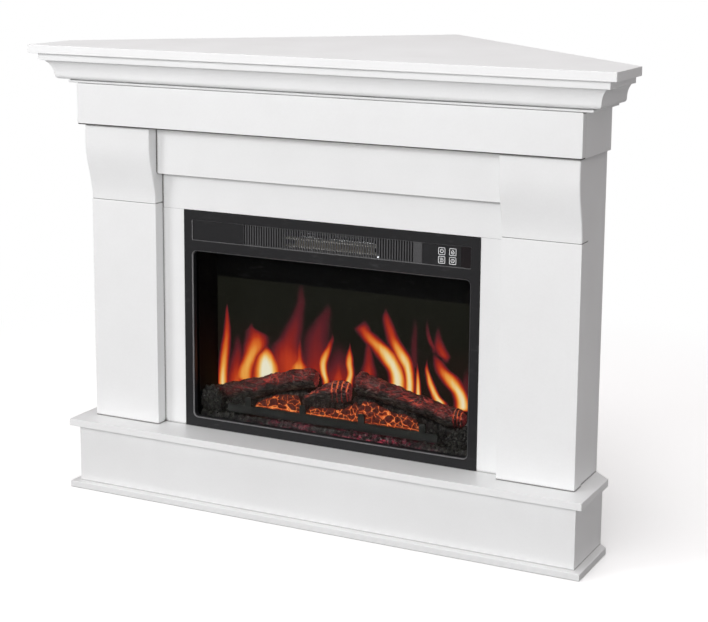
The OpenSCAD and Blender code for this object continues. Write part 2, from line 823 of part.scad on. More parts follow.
module blower_shell() from_front() {
    along_x(-housing_x, housing_x)
        difference() {
            translate([fan_y, fan_z]) circle(r = scroll_r);
            translate([fan_y, fan_z]) circle(r = scroll_r - sheet);
            translate([fan_y - scroll_r - 1, fan_z - scroll_r - 1]) square([scroll_r + 1, 2 * scroll_r + 2]);
            translate([fan_y - 1, fan_z - scroll_r - 1]) square([scroll_r, scroll_r * 0.55]);
        }
    for (z = [fan_z - scroll_r, fan_z + scroll_r - sheet])
        block([-housing_x, duct_y0 + 3, z], [housing_x, z < fan_z ? fan_y - 22 : fan_y, z + sheet]);
    for (x = [-housing_x, housing_x - sheet])
        difference() {
            block([x, duct_y0 + 3, fan_z - scroll_r + sheet], [x + sheet, fan_y, fan_z + scroll_r - sheet]);
            rod_x(x - 1, x + sheet + 1, fan_y, fan_z, x < 0 ? fan_shaft_r + bearing_gap : 9);
        }
    for (x = [-housing_x, housing_x - sheet])
        difference() {
            intersection() {
                rod_x(x, x + sheet, fan_y, fan_z, scroll_r - sheet);
                block([x, fan_y, fan_z - scroll_r], [x + sheet, fan_y + scroll_r, fan_z + scroll_r]);
            }
            rod_x(x - 1, x + sheet + 1, fan_y, fan_z, x < 0 ? fan_shaft_r + bearing_gap : 9);
        }
}

module blower_feet() from_front()
    for (x = [-80, 60])
        block([x, duct_y0 + 5, ceiling_z + sheet], [x + 20, duct_y0 + 25, fan_z - scroll_r]);

module blower_motor() color("dimgray") from_front()
    difference() {
        union() {
            rod_x(motor_x0, motor_x0 + 34, fan_y, fan_z, 20);
            for (a = [45:90:315])
                rod_x(housing_x, motor_x0, fan_y + 14 * cos(a), fan_z + 14 * sin(a), 2.5);
        }
        rod_x(motor_x0 - 1, motor_x0 + 24, fan_y, fan_z, fan_shaft_r + bearing_gap);
    }

fin_count = 31;
module heating_element() color("goldenrod") from_front() {
    for (z = [484, 497.5]) block([-housing_x + sheet, 133, z], [housing_x - sheet, 149, z + 2.5]);
    for (i = [0:fin_count - 1])
        translate([(i - (fin_count - 1) / 2) * 5, 0, 0])
            block([-0.6, 134, 486.5], [0.6, 148, 497.5]);
}

// Gland for the supply lead, in the rear cover
module cable_gland() color(black) from_front()
    difference() {
        union() {
            rod_y(case_y1 - 4, case_y1 + sheet, gland_x, gland_z, 6.8);
            rod_y(case_y1 + sheet, case_y1 + sheet + 4, gland_x, gland_z, 10);
        }
        rod_y(case_y1 - 5, case_y1 + sheet + 5, gland_x, gland_z, gland_bore_r);
    }

// Angle brackets that hold the insert to the backs of the surround stiles
module insert_brackets() color(steel) from_front() both_sides()
    for (z = bracket_z)
        difference() {
            union() {
                block(
                    [case_x, surround_front_y + board, z - bracket_height / 2],
                    [case_x + sheet, surround_front_y + board + 36, z + bracket_height / 2]
                );
                block(
                    [case_x, surround_front_y + board, z - bracket_height / 2],
                    [bracket_screw_x + 12, surround_front_y + board + sheet, z + bracket_height / 2]
                );
            }
            rod_y(
                surround_front_y + board - 1, surround_front_y + board + sheet + 1,
                bracket_screw_x, z, screw_r + 0.3
            );
        }

top_shelf();
crown_front();
crown_return_left();
crown_return_right();
frieze_front();
frieze_beam();
frieze_side_left();
frieze_side_right();
header_panel();
surround_top_rail();
surround_stile_left();
surround_stile_right();
pilaster_left();
pilaster_right();
corbel_left();
corbel_right();
side_panel_left();
side_panel_right();
base_cap();
plinth_front();
plinth_side_left();
plinth_side_right();
floor_board();
shelf_rail_left();
shelf_rail_right();
rear_post();
wood_screws();
trim_frame();
louvre_panel();
blank_panel();
control_panel();
receiver_window();
button_power();
button_flame();
button_heater();
button_timer();
status_led();
control_board();
front_glass();
chassis_wrap();
chassis_top();
rear_cover();
firebox_liner();
flame_screen();
log_left();
log_right();
log_centre();
embers();
ember_bed();
grate();
led_board();
flame_rotor();
rotor_motor();
rotor_bush();
blower_wheel();
blower_housing();
blower_motor();
heating_element();
cable_gland();
insert_brackets();
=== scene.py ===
"""Looks of the corner electric fireplace: a white board mantel around a black log-effect insert.

Metres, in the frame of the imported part: +Z up, front towards -Y. Measurements that were taken
back from the shelf's front edge go through depth().
"""
import math
from functools import partialmethod

import bpy
from mathutils import Matrix, Vector, noise


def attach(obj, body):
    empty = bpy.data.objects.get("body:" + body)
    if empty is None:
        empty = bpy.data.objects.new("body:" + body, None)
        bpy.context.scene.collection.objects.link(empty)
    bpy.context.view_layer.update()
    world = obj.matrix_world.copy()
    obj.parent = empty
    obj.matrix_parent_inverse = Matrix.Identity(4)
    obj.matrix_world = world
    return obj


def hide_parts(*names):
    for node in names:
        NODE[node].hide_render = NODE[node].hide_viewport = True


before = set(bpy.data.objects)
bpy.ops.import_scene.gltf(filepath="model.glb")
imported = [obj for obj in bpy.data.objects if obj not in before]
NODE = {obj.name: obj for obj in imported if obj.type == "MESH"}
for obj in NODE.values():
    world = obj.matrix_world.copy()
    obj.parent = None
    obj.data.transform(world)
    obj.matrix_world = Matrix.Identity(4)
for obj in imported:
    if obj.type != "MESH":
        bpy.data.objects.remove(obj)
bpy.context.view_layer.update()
HALF_DEPTH = 0.339


def mm(value):
    """Millimetres to metres."""
    return value / 1000


def depth(back_mm):
    """Y of a plane this many millimetres behind the shelf's front edge."""
    return back_mm / 1000 - HALF_DEPTH


def srgb(r, g, b):
    """A colour as read off a screen, 0 to 255, as linear RGBA."""
    def lin(c):
        c /= 255
        return c / 12.92 if c <= 0.04045 else ((c + 0.055) / 1.055) ** 2.4
    return lin(r), lin(g), lin(b), 1.0


# --- node helpers
class Tree:
    """Short calls for building a node tree."""

    def __init__(self, tree):
        self.nodes = tree.nodes
        self.links = tree.links

    def fill(self, node, **values):
        """Sets or links inputs, named by socket (spaces as _) or given as i0, i1, ... by place."""
        for k, v in values.items():
            key = int(k[1:]) if k[0] == "i" and k[1:].isdigit() else k.replace("_", " ")
            if isinstance(v, bpy.types.NodeSocket):
                self.links.new(v, node.inputs[key])
            else:
                node.inputs[key].default_value = v

    def add(self, kind, out=0, props=None, **inputs):
        n = self.nodes.new(kind if "Node" in kind else "ShaderNode" + kind)
        for k, v in (props or {}).items():
            setattr(n, k, v)
        self.fill(n, **inputs)
        return n.outputs[out]

    def use(self, g, **inputs):
        """Puts in node group g, and returns its outputs."""
        n = self.nodes.new("ShaderNodeGroup")
        n.node_tree = g
        self.fill(n, **inputs)
        return n.outputs

    def math(self, op, a, b=0.0, c=0.0, clamp=False):
        return self.add("Math", props={"operation": op, "use_clamp": clamp}, i0=a, i1=b, i2=c)

    plus = partialmethod(math, "ADD")
    minus = partialmethod(math, "SUBTRACT")
    times = partialmethod(math, "MULTIPLY")
    times_plus = partialmethod(math, "MULTIPLY_ADD")

    def vec(self, op, a, b):
        return self.add("VectorMath", props={"operation": op}, i0=a, i1=b)

    scale = partialmethod(vec, "MULTIPLY")

    def noise(self, v, scale, detail=3.0, rough=0.55):
        return self.add("TexNoise", Vector=v, Scale=scale, Detail=detail, Roughness=rough)

    def cells(self, v, scale, feature="F1"):
        props = {"feature": feature}
        return self.add("TexVoronoi", out="Distance", props=props, Vector=v, Scale=scale)

    def span(self, v, low, high, to_low=0.0, to_high=1.0, smooth=False):
        return self.add(
            "MapRange", props={"interpolation_type": "SMOOTHSTEP" if smooth else "LINEAR"},
            Value=v, From_Min=low, From_Max=high, To_Min=to_low, To_Max=to_high,
        )

    def sweep(self, v, low=0.0, high=1.0):
        """Spreads a noise's usual range, 0.3 to 0.7, over low to high."""
        return self.span(v, 0.3, 0.7, low, high)

    def mix(self, factor, a, b):
        return self.add("Mix", out=2, props={"data_type": "RGBA"}, i0=factor, i6=a, i7=b)

    def both_lights(self, a, b):
        """Two colours of light added up."""
        return self.add("MixRGB", props={"blend_type": "ADD"}, i0=1.0, i1=a, i2=b)

    def ramp(self, v, stops):
        """A blend through stops (place, colour)."""
        n = self.nodes.new("ShaderNodeValToRGB")
        self.fill(n, i0=v)
        e = n.color_ramp.elements
        while len(e) < len(stops):
            e.new(0.5)
        for item, (at, colour) in zip(e, stops):
            item.position = at
            item.color = colour
        return n.outputs[0]

    def tones(self, v, *stops):
        """A blend through stops (place, red, green, blue), as read off a screen."""
        return self.ramp(v, [(at, srgb(*rgb)) for at, *rgb in stops])

    def bump(self, height, strength, distance=0.001):
        return self.add("Bump", out="Normal", Strength=strength, Distance=distance, Height=height)

    def xyz(self, v):
        n = self.nodes.new("ShaderNodeSeparateXYZ")
        self.fill(n, i0=v)
        return tuple(n.outputs)

    def join(self, x, y, z):
        return self.add("CombineXYZ", i0=x, i1=y, i2=z)

    def place(self):
        return self.add("TexCoord", out="Object")

    def facing_up(self):
        return self.xyz(self.add("NewGeometry", out="Normal"))[2]

    def mark(self, name):
        """A value kept on the mesh's own points."""
        return self.add("Attribute", out="Fac", props={"attribute_name": name})

    def ray(self, kind):
        return self.add("LightPath", out=f"Is {kind} Ray")

    def surface(self, factor, a, b):
        """Makes a mix of two shaders the material's surface."""
        both = self.add("MixShader", i0=factor, i1=a, i2=b)
        self.fill(self.nodes["Material Output"], Surface=both)


def group(name, ins, outs, kind="ShaderNodeTree"):
    """A new node group with [(socket name, type, default if any)] in and [(name, type)] out."""
    g = bpy.data.node_groups.new(name, kind)
    for label, socket, *value in ins:
        s = g.interface.new_socket(label, in_out="INPUT", socket_type="NodeSocket" + socket)
        if value:
            s.default_value = value[0]
    for label, socket in outs:
        g.interface.new_socket(label, in_out="OUTPUT", socket_type="NodeSocket" + socket)
    t = Tree(g)
    return g, t, t.nodes.new("NodeGroupInput").outputs, t.nodes.new("NodeGroupOutput")


def material(name):
    """A new material, its tree, its main shader and the place on the object."""
    m = bpy.data.materials.new(name)
    m.use_nodes = True
    t = Tree(m.node_tree)
    return m, t, t.nodes["Principled BSDF"], t.place()


def grey(value):
    return (value, value, value, 1)


# --- shared effects
def make_lacquer_group():
    """Sprayed lacquer: slow tint drift, fine orange peel, faint dust that settles low down."""
    g, t, i, o = group(
        "Sprayed Lacquer",
        [("Place", "Vector"), ("Peel", "Float", 1.0)],
        [("Tint", "Float"), ("Gloss", "Float"), ("Normal", "Vector")],
    )
    p = i["Place"]
    drift = t.noise(p, 3.1, 4, 0.6)
    cloud = t.noise(p, 14, 3, 0.5)
    fine = t.noise(p, 260, 2, 0.5)
    peel = t.noise(p, 900, 2, 0.6)
    z = t.xyz(p)[2]
    low = t.span(z, 0, 0.16, 1, 0, smooth=True)
    dust = t.times(low, t.span(cloud, 0.35, 0.75, 0.15, 0.4))
    tint = t.plus(t.sweep(drift, -0.5, 0.5), t.sweep(cloud, -0.25, 0.25))
    tint = t.plus(tint, t.sweep(fine, -0.2, 0.2))
    gloss = t.plus(t.sweep(cloud, -0.5, 0.5), t.sweep(fine, -0.5, 0.5))
    height = t.times(t.plus(peel, t.times(fine, 2)), i["Peel"])
    t.fill(o, Tint=t.minus(tint, dust), Gloss=gloss, Normal=t.bump(height, 0.05, 0.0006))
    return g


def make_powder_group():
    """Powder coat: fine speckle, tiny grains and rubbed spots."""
    g, t, i, o = group(
        "Powder Coat",
        [("Place", "Vector"), ("Grain", "Float", 1.0)],
        [("Speck", "Float"), ("Rub", "Float"), ("Normal", "Vector")],
    )
    p = i["Place"]
    grain = t.noise(p, 1500, 2, 0.6)
    cloud = t.noise(p, 9, 4, 0.6)
    rub = t.noise(t.scale(p, (1, 1, 3)), 42, 5, 0.65)
    rubbed = t.times(t.span(rub, 0.55, 0.75), t.span(cloud, 0.4, 0.7))
    height = t.times(grain, i["Grain"])
    t.fill(o, Speck=t.span(grain, 0.35, 0.7), Rub=rubbed, Normal=t.bump(height, 0.12, 0.0004))
    return g


def make_rolled_group():
    """Rolled metal: fine streaks, along X by default, and faint stains."""
    g, t, i, o = group(
        "Rolled Metal",
        [("Place", "Vector"), ("Along", "Vector", (0.02, 1.0, 1.0))],
        [("Streak", "Float"), ("Stain", "Float"), ("Normal", "Vector")],
    )
    p = i["Place"]
    streak = t.noise(t.scale(p, i["Along"]), 900, 3, 0.6)
    stain = t.noise(p, 26, 5, 0.6)
    dull = t.span(stain, 0.35, 0.7)
    t.fill(o, Streak=t.sweep(streak), Stain=dull, Normal=t.bump(streak, 0.08, 0.0003))
    return g


SPINE_SPAN, HALF_SPAN, HEAT_SPAN = 0.30, 0.10, 2.0  # full scale of a flame's three curves
SOFT_EDGE = 1.28  # a flame fades out this much wider than its half width
NARROWEST = 0.0005


def make_tongue_group():
    """One flame on the screen: hot at its spine, fading softly to nothing beside it."""
    g, t, i, o = group(
        "Flame Tongue", [("Across", "Float", 0.0), ("Shape", "Vector")], [("Heat", "Float")]
    )
    spine, half, heat = t.xyz(i["Shape"])
    half = t.math("MAXIMUM", t.times(half, HALF_SPAN * SOFT_EDGE), NARROWEST)
    off = t.minus(i["Across"], t.times(spine, SPINE_SPAN))
    off = t.math("DIVIDE", off, half)
    body = t.math("SUBTRACT", 1, t.times(off, off), clamp=True)
    body = t.math("POWER", body, 2)
    t.fill(o, Heat=t.times(body, t.times(heat, HEAT_SPAN)))
    return g


LACQUER = make_lacquer_group()
POWDER = make_powder_group()
ROLLED = make_rolled_group()
TONGUE = make_tongue_group()


# --- materials
def mat_white_lacquer(name, underside_shade=None, reach=0.0075, joint_shade=1.0):
    m, t, b, p = material(name)
    f = t.use(LACQUER, Place=p, Peel=1)
    tone = t.span(f["Tint"], -1.2, 1.2, 0, 1)
    colour = t.mix(tone, (0.79, 0.796, 0.797, 1), (0.864, 0.876, 0.879, 1))
    # painted shade: ambient occlusion darkens the joints and inner corners between boards
    occlusion = t.add("AmbientOcclusion", out=1, props={"samples": 8}, Distance=reach)
    colour = t.mix(t.span(occlusion, 0.35, 0.82, joint_shade, 0, smooth=True), colour, (0.14, 0.135, 0.13, 1))
    # painted shade: faces turned downwards, such as the lower arrises, are darkened
    if underside_shade:
        colour = t.mix(t.span(t.facing_up(), *underside_shade, 1, 0), colour, (0.06, 0.058, 0.056, 1))
    t.fill(
        b, Base_Color=colour, Roughness=t.span(f["Gloss"], -1, 1, 0.36, 0.48),
        Normal=f["Normal"], Coat_Weight=0.12, Coat_Roughness=0.35,
    )
    return m


def mat_primed_back():
    """The boards nobody sees: the same white, but chalky and uneven."""
    m, t, b, p = material("Primed Back Face")
    f = t.use(LACQUER, Place=p, Peel=2)
    blotch = t.span(t.noise(p, 22, 5, 0.65), 0.3, 0.75)
    colour = t.mix(blotch, (0.72, 0.70, 0.66, 1), (0.80, 0.79, 0.77, 1))
    t.fill(b, Base_Color=colour, Roughness=0.72, Normal=f["Normal"])
    return m


PITH_X, PITH_Y = 0.010, 0.296


def mat_pine():
    """Sawn pine: growth rings round a pith beside the post, which leans a little."""
    m, t, b, p = material("Sawn Pine")
    z = t.xyz(p)[2]
    bend = t.add("TexNoise", out=1, Vector=t.scale(p, (1, 1, 0.3)), Scale=9, Detail=2)
    lean = t.join(t.times_plus(z, 0.034, PITH_X), t.times_plus(z, 0.018, PITH_Y), 0)
    grain_at = t.vec("ADD", t.vec("SUBTRACT", p, lean), t.scale(bend, (0.016, 0.016, 0)))
    rings = t.add(
        "TexWave", out=1, props={"wave_type": "RINGS", "rings_direction": "Z"},
        Vector=grain_at, Scale=62.0, Distortion=1.2, Detail=2.0,
    )
    fibre = t.noise(t.scale(p, (1, 1, 0.02)), 900, 3)
    colour = t.ramp(
        t.times_plus(fibre, 0.4, t.times(rings, 0.6)),
        [(0.15, (0.56, 0.40, 0.23, 1)), (0.5, (0.68, 0.52, 0.33, 1)), (0.9, (0.74, 0.59, 0.40, 1))],
    )
    handled = t.noise(t.scale(p, (1, 1, 0.4)), 18, 3, 0.6)
    colour = t.mix(t.span(handled, 0.5, 0.75, 0, 0.3), colour, (0.42, 0.33, 0.22, 1))
    rough = t.sweep(fibre, 0.62, 0.8)
    t.fill(b, Base_Color=colour, Roughness=rough, Normal=t.bump(fibre, 0.3, 0.0006))
    return m


def mat_black_coat(name, dark, light, low, high, grain=1.0, sheen=0.5, dust=0.0):
    m, t, b, p = material(name)
    f = t.use(POWDER, Place=p, Grain=grain)
    colour = t.mix(f["Speck"], dark, light)
    colour = t.mix(t.times(f["Rub"], 0.35), colour, (0.11, 0.11, 0.115, 1))
    if dust:
        fluff = t.span(t.noise(p, 26, 5, 0.65), 0.38, 0.62)
        patchy = t.times_plus(fluff, 0.6, 0.4)
        lying = t.times_plus(t.span(t.facing_up(), 0.3, 0.95), patchy, 0.10)
        colour = t.mix(t.times(lying, dust), colour, srgb(150, 146, 140))
    rough = t.span(f["Speck"], 0, 1, low, high)
    t.fill(b, Base_Color=colour, Roughness=rough, Specular_IOR_Level=sheen, Normal=f["Normal"])
    return m


def mat_metal(name, dark, light, low, high, along=(0.02, 1.0, 1.0), metallic=1.0):
    m, t, b, p = material(name)
    f = t.use(ROLLED, Place=p, Along=along)
    colour = t.mix(f["Streak"], dark, light)
    colour = t.mix(t.times(f["Stain"], 0.25), colour, tuple(c * 0.6 for c in dark[:3]) + (1,))
    rough = t.span(f["Stain"], 0, 1, low, high)
    t.fill(b, Base_Color=colour, Roughness=rough, Metallic=metallic, Normal=f["Normal"])
    return m


def mat_plastic(name, dark, light, rough):
    m, t, b, p = material(name)
    grain = t.noise(p, 700, 2)
    wear = t.noise(p, 60, 4, 0.6)
    colour = t.mix(t.sweep(wear), dark, light)
    t.fill(
        b, Base_Color=colour, Roughness=t.sweep(wear, rough - 0.06, rough + 0.08),
        Normal=t.bump(grain, 0.15, 0.0002),
    )
    return m


def mat_plain(name, scale, detail, dark, light, low, high, sheen=0.5, glow=0.0):
    """A plain surface whose tone and gloss drift a little, which may glow in its own colour."""
    m, t, b, p = material(name)
    drift = t.noise(p, scale, detail)
    colour = t.mix(t.sweep(drift), dark, light)
    t.fill(b, Base_Color=colour, Roughness=t.sweep(drift, low, high), Specular_IOR_Level=sheen)
    if glow:
        t.fill(b, Emission_Color=colour, Emission_Strength=glow)
    return m


def mat_lamp(name, colour, strength):
    m, t, b, p = material(name)
    glow = t.sweep(t.noise(p, 400, 2), 0.85, 1)
    t.fill(
        b, Base_Color=colour, Roughness=0.25, Emission_Color=colour,
        Emission_Strength=t.times(glow, strength),
    )
    return m


def mat_circuit():
    m, t, b, p = material("Circuit Board")
    tracks = t.cells(p, 260, "DISTANCE_TO_EDGE")
    mask = t.span(tracks, 0.04, 0.06, 1, 0)
    colour = t.mix(mask, (0.012, 0.085, 0.035, 1), (0.05, 0.20, 0.09, 1))
    t.fill(b, Base_Color=colour, Roughness=0.35, Normal=t.bump(mask, 0.2, 0.0002))
    return m


def mat_glass():
    m, t, b, p = material("Front Glass")
    haze = t.noise(p, 7, 4, 0.6)
    t.fill(
        b, Base_Color=(0.93, 0.94, 0.94, 1), Transmission_Weight=1.0, IOR=1.05,
        Roughness=t.sweep(haze, 0, 0.012),
    )
    inward = t.math("MAXIMUM", t.ray("Shadow"), t.ray("Diffuse"))
    smoked = t.add("BsdfTransparent", Color=grey(SMOKE))
    t.surface(inward, b.outputs[0], smoked)
    return m


SMOKE = 0.32
FLAME_Z = (0.170, 0.430)
FADE_BELOW, FADE_ABOVE = 9, 12  # millimetres in which a flame fades out past its ends
# Each flame as (height, spine x, half width, heat) from its foot to its tip, in millimetres
FLAMES = [
    [(195, -260.5, 13, 0.88), (230, -258.5, 12.5, 0.76), (268, -254.3, 11.6, 0.6),
     (305, -250.2, 7.9, 0.45), (342, -250.3, 3.2, 0.26)],
    [(214, -213.5, 24, 0.75), (252, -201.7, 18.7, 0.74), (280, -187.7, 27.2, 0.62),
     (296, -185.7, 27.2, 0.45), (314, -198.7, 6.1, 0.18)],
    [(204, -230.1, 26, 0.5), (234, -230.1, 20, 0.38), (267, -227.1, 15, 0.22), (290, -227.1, 10, 0.1)],
    [(218, -165.6, 34.5, 1.09), (242, -165.5, 32, 1.06), (258, -166.3, 24.8, 0.88), (270, -165, 13.5, 0.6),
     (277, -166, 7.9, 0.3)],
    [(235, -114, 52, 0.48), (262, -119.3, 47, 0.45), (280, -121.4, 40, 0.38), (299, -115.3, 29, 0.31),
     (322, -107.5, 24, 0.26), (349, -98.9, 17, 0.2), (378, -93.3, 13, 0.16), (404, -93.4, 7.7, 0.08)],
    [(243, -99.1, 27.6, 0.7), (262, -96.6, 10.4, 0.52), (284, -96.1, 5.3, 0.36), (298, -95.7, 3.1, 0.2)],
    [(245, -61.2, 36, 0.36), (270, -61.2, 36, 0.3), (299, -61.3, 35, 0.25), (336, -50.1, 24.4, 0.2),
     (368, -37.7, 9.8, 0.11)],
    [(227, -41, 9.5, 0.76), (243, -45.6, 10.2, 0.87), (257, -47.4, 10.4, 0.85), (278, -42.7, 10.4, 0.71),
     (297, -34.5, 7.4, 0.42), (312, -29.4, 4.3, 0.2)],
    [(235, -14, 44, 0.34), (258, -13, 38, 0.25), (285, -14, 28, 0.14), (305, -16, 16, 0.05)],
    [(232, -16.6, 19.4, 0.46), (251, -15.3, 12.3, 0.36), (267, -16.7, 6.5, 0.2)],
    [(229, 4.9, 9.8, 0.87), (250, 8.9, 8.8, 0.82), (268, 6.7, 9.4, 0.79), (285, 6.6, 6.8, 0.6),
     (298, 6.8, 2.8, 0.3)],
    [(252, 45, 19, 0.4), (276, 45.5, 14, 0.33), (305, 44.5, 7.6, 0.24), (321, 44.2, 5.3, 0.1)],
    [(234, 103.5, 19.7, 0.95), (260, 100.9, 19.1, 0.95), (282, 88.5, 24.4, 0.94), (301, 72.9, 26.2, 0.82),
     (315, 53.8, 24.2, 0.66), (327, 40.3, 22.2, 0.52), (335, 33, 18.4, 0.44), (345, 34.5, 11.7, 0.2)],
    [(229, 126.3, 11.1, 0.91), (251, 126.2, 11.1, 0.91), (272, 122.7, 13.2, 0.88), (292, 113.1, 18, 0.87),
     (308, 102.7, 17, 0.73), (326, 91.8, 15.6, 0.5), (345, 84.2, 13.6, 0.42), (362, 78.8, 11.1, 0.32),
     (373, 77.5, 5.4, 0.15)],
    [(226, 143.5, 7, 0.87), (247, 142.8, 5.9, 0.79), (264, 142.2, 4.1, 0.6), (280, 141.6, 2.3, 0.25)],
    [(281, 134.7, 10.7, 0.18), (323, 133.8, 9, 0.17), (361, 134, 7, 0.08)],
    [(217, 185.9, 15.6, 0.91), (229, 177.9, 10.5, 0.88), (245, 169.7, 8.9, 0.82), (262, 164.1, 6.9, 0.71),
     (277, 159.8, 4.3, 0.5), (288, 159.4, 2.2, 0.22)],
    [(297, 196.4, 8.5, 0.22), (307, 190.5, 14.9, 0.4), (318, 184, 14.3, 0.37), (334, 180.8, 9.3, 0.25),
     (353, 180.4, 4.9, 0.1)],
    [(312, 173.6, 7.7, 0.2), (326, 165, 7.3, 0.26), (343, 159.4, 6.1, 0.2), (364, 158.2, 4.1, 0.08)],
    [(217, 229.5, 17.1, 0.95), (237, 224.7, 16.8, 0.95), (253, 213.3, 20.4, 0.88),
     (268, 201.6, 22.1, 0.73), (281, 188.7, 16.1, 0.5), (294, 181.7, 11.7, 0.34), (303, 176, 7.1, 0.15)],
    [(235, 234.6, 14.9, 0.2), (266, 237.2, 11.9, 0.16), (287, 239, 7.9, 0.07)],
]


def flame_curve(t, level, rows):
    """A flame's spine, half width and heat along its height, as one curve node."""
    n = t.nodes.new("ShaderNodeVectorCurve")
    t.fill(n, Vector=level)
    z0, z1 = FLAME_Z
    foot, tip = rows[0], rows[-1]
    below, above = (foot[0] - FADE_BELOW, *foot[1:3], 0.0), (tip[0] + FADE_ABOVE, tip[1], 1.0, 0.0)
    rows = [below, *rows, above]
    full_scale = SPINE_SPAN * 1000, HALF_SPAN * 1000, HEAT_SPAN
    for pick, (curve, full) in enumerate(zip(n.mapping.curves, full_scale), 1):
        points = [((mm(r[0]) - z0) / (z1 - z0) * 2 - 1, r[pick] / full) for r in rows]
        while len(curve.points) < len(points):
            curve.points.new(0.0, 0.0)
        for item, (at, value) in zip(curve.points, points):
            item.location = (at, value)
            item.handle_type = "AUTO_CLAMPED"
    n.mapping.update()
    return n.outputs[0]


def mat_flame_screen():
    """The smoked screen, with the flames that the lamps and the turning blades throw on it."""
    m, t, b, p = material("Flame Screen")
    x, _, z = t.xyz(p)
    # licks of flame waver a little, more the higher they are
    sway = t.minus(t.noise(t.scale(p, (1, 0, 0.55)), 24, 3, 0.5), 0.5)
    high = t.span(z, 0.20, 0.36, 0.3, 1)
    across = t.times_plus(t.times(sway, high), 0.012, x)
    level = t.span(z, FLAME_Z[0], FLAME_Z[1], -1, 1)
    level = t.join(level, level, level)
    heat = None
    for rows in FLAMES:
        one = t.use(TONGUE, Across=across, Shape=flame_curve(t, level, rows))["Heat"]
        heat = one if heat is None else t.math("SMOOTH_MAX", heat, one, 0.04)
    wisp = t.noise(t.scale(p, (1, 0, 0.12)), 120, 3, 0.5)
    heat = t.times(heat, t.span(wisp, 0.25, 0.7, 0.93, 1.04))
    flame = t.tones(
        heat, (0.04, 0, 0, 0), (0.10, 34, 7, 15), (0.20, 84, 16, 30), (0.34, 138, 23, 20),
        (0.46, 184, 51, 18), (0.60, 214, 108, 34), (0.76, 233, 167, 74), (0.88, 235, 208, 146),
        (1.0, 234, 228, 202),
    )
    # a dull glow low on the screen
    glow = t.times(t.span(z, 0.17, 0.33, 1, 0), t.span(t.noise(p, 11, 3), 0.35, 0.7))
    base = t.mix(glow, srgb(22, 22, 17), srgb(48, 21, 17))
    light = t.both_lights(base, flame)
    dust = t.noise(p, 500, 2)
    t.fill(
        b, Base_Color=(0.004, 0.004, 0.003, 1), Roughness=t.sweep(dust, 0.5, 0.62),
        Specular_IOR_Level=0.05, Emission_Color=light, Emission_Strength=1.0,
    )
    return m


def mat_bark():
    """Charred wood: thin red seams over its upper side, which is painted as lit, and a greyer, duller copy
    of the bark painted as shade underneath.
    """
    m, t, b, p = material("Charred Bark")
    crack = t.mark("crack")
    ash = t.mark("ash")
    upper = t.mark("upper")
    fibre = t.noise(t.scale(p, (0.25, 1, 1)), 330, 5, 0.65)
    patch = t.noise(p, 38, 4, 0.6)
    grain = t.times_plus(fibre, 0.6, t.times(patch, 0.4))
    skin = t.tones(grain, (0.36, 30, 22, 21), (0.5, 84, 64, 60), (0.62, 168, 126, 114))
    skin = t.mix(t.times(ash, t.span(fibre, 0.35, 0.7)), skin, srgb(176, 140, 130))
    dull = t.tones(grain, (0.36, 26, 25, 23), (0.5, 74, 72, 66), (0.62, 142, 138, 128))
    colour = t.mix(t.times(crack, 0.8), skin, srgb(70, 18, 16))
    # fine veins between the plates, brightest near the middle of the fire
    x = t.xyz(p)[0]
    crooked = t.add("TexNoise", out=1, Vector=p, Scale=70, Detail=3)
    vein = t.vec("ADD", t.scale(p, (0.42, 1, 1)), t.scale(crooked, (0.006, 0.006, 0.006)))
    vein = t.cells(vein, 190, "DISTANCE_TO_EDGE")
    vein = t.times(t.span(vein, 0, 0.09, 1, 0), t.span(patch, 0.40, 0.58, 0, 0.75))
    near = t.times(t.span(x, -0.24, -0.10, 0.25, 1), t.span(x, 0.10, 0.26, 1, 0.75))
    # painted light: the upper side, more so near the middle of the fire, is painted as lit; the underside
    # takes the greyer copy as painted shade
    edge = t.times_plus(t.minus(patch, 0.5), 1.6, upper)
    lit = t.times(t.span(edge, -0.25, 0.42, 0.07, 1, smooth=True), near)
    colour = t.mix(lit, t.mix(t.times(crack, 0.7), dull, srgb(18, 16, 15)), colour)
    split = t.span(crack, 1.05, 1.7, 0, 0.72)
    deep = t.math("MAXIMUM", t.times(t.math("MAXIMUM", crack, vein), lit), split)
    red = t.tones(deep, (0.06, 0, 0, 0), (0.36, 94, 28, 29), (0.75, 160, 54, 46), (1, 232, 112, 62))
    # a faint red painted glow over the lit side
    painted_glow = t.mix(t.times(lit, 0.55), (0, 0, 0, 1), srgb(50, 22, 22))
    light = t.both_lights(red, painted_glow)
    t.fill(
        b, Base_Color=colour, Roughness=t.sweep(fibre, 0.55, 0.8),
        Normal=t.bump(fibre, 0.5, 0.0009), Emission_Color=light, Emission_Strength=0.85,
    )
    return m


def mat_ember():
    """Glowing chunks: dark crusts with bright orange seams."""
    m, t, b, p = material("Glowing Embers")
    crack = t.mark("crack")
    ash = t.mark("ash")
    fine = t.noise(p, 240, 4, 0.65)
    crust = t.tones(fine, (0.3, 56, 26, 23), (0.6, 126, 58, 47))
    seam = t.times_plus(t.minus(fine, 0.5), 0.7, crack)
    lava = t.tones(seam, (0.28, 50, 17, 14), (0.50, 102, 32, 21), (0.68, 202, 88, 38), (0.95, 238, 154, 84))
    colour = t.mix(crack, crust, srgb(180, 60, 30))
    colour = t.mix(t.times(ash, 0.5), colour, srgb(120, 100, 94))
    t.fill(
        b, Base_Color=colour, Roughness=0.75, Normal=t.bump(fine, 0.5, 0.0008),
        Emission_Color=lava, Emission_Strength=t.minus(0.9, t.times(ash, 0.6)),
    )
    return m


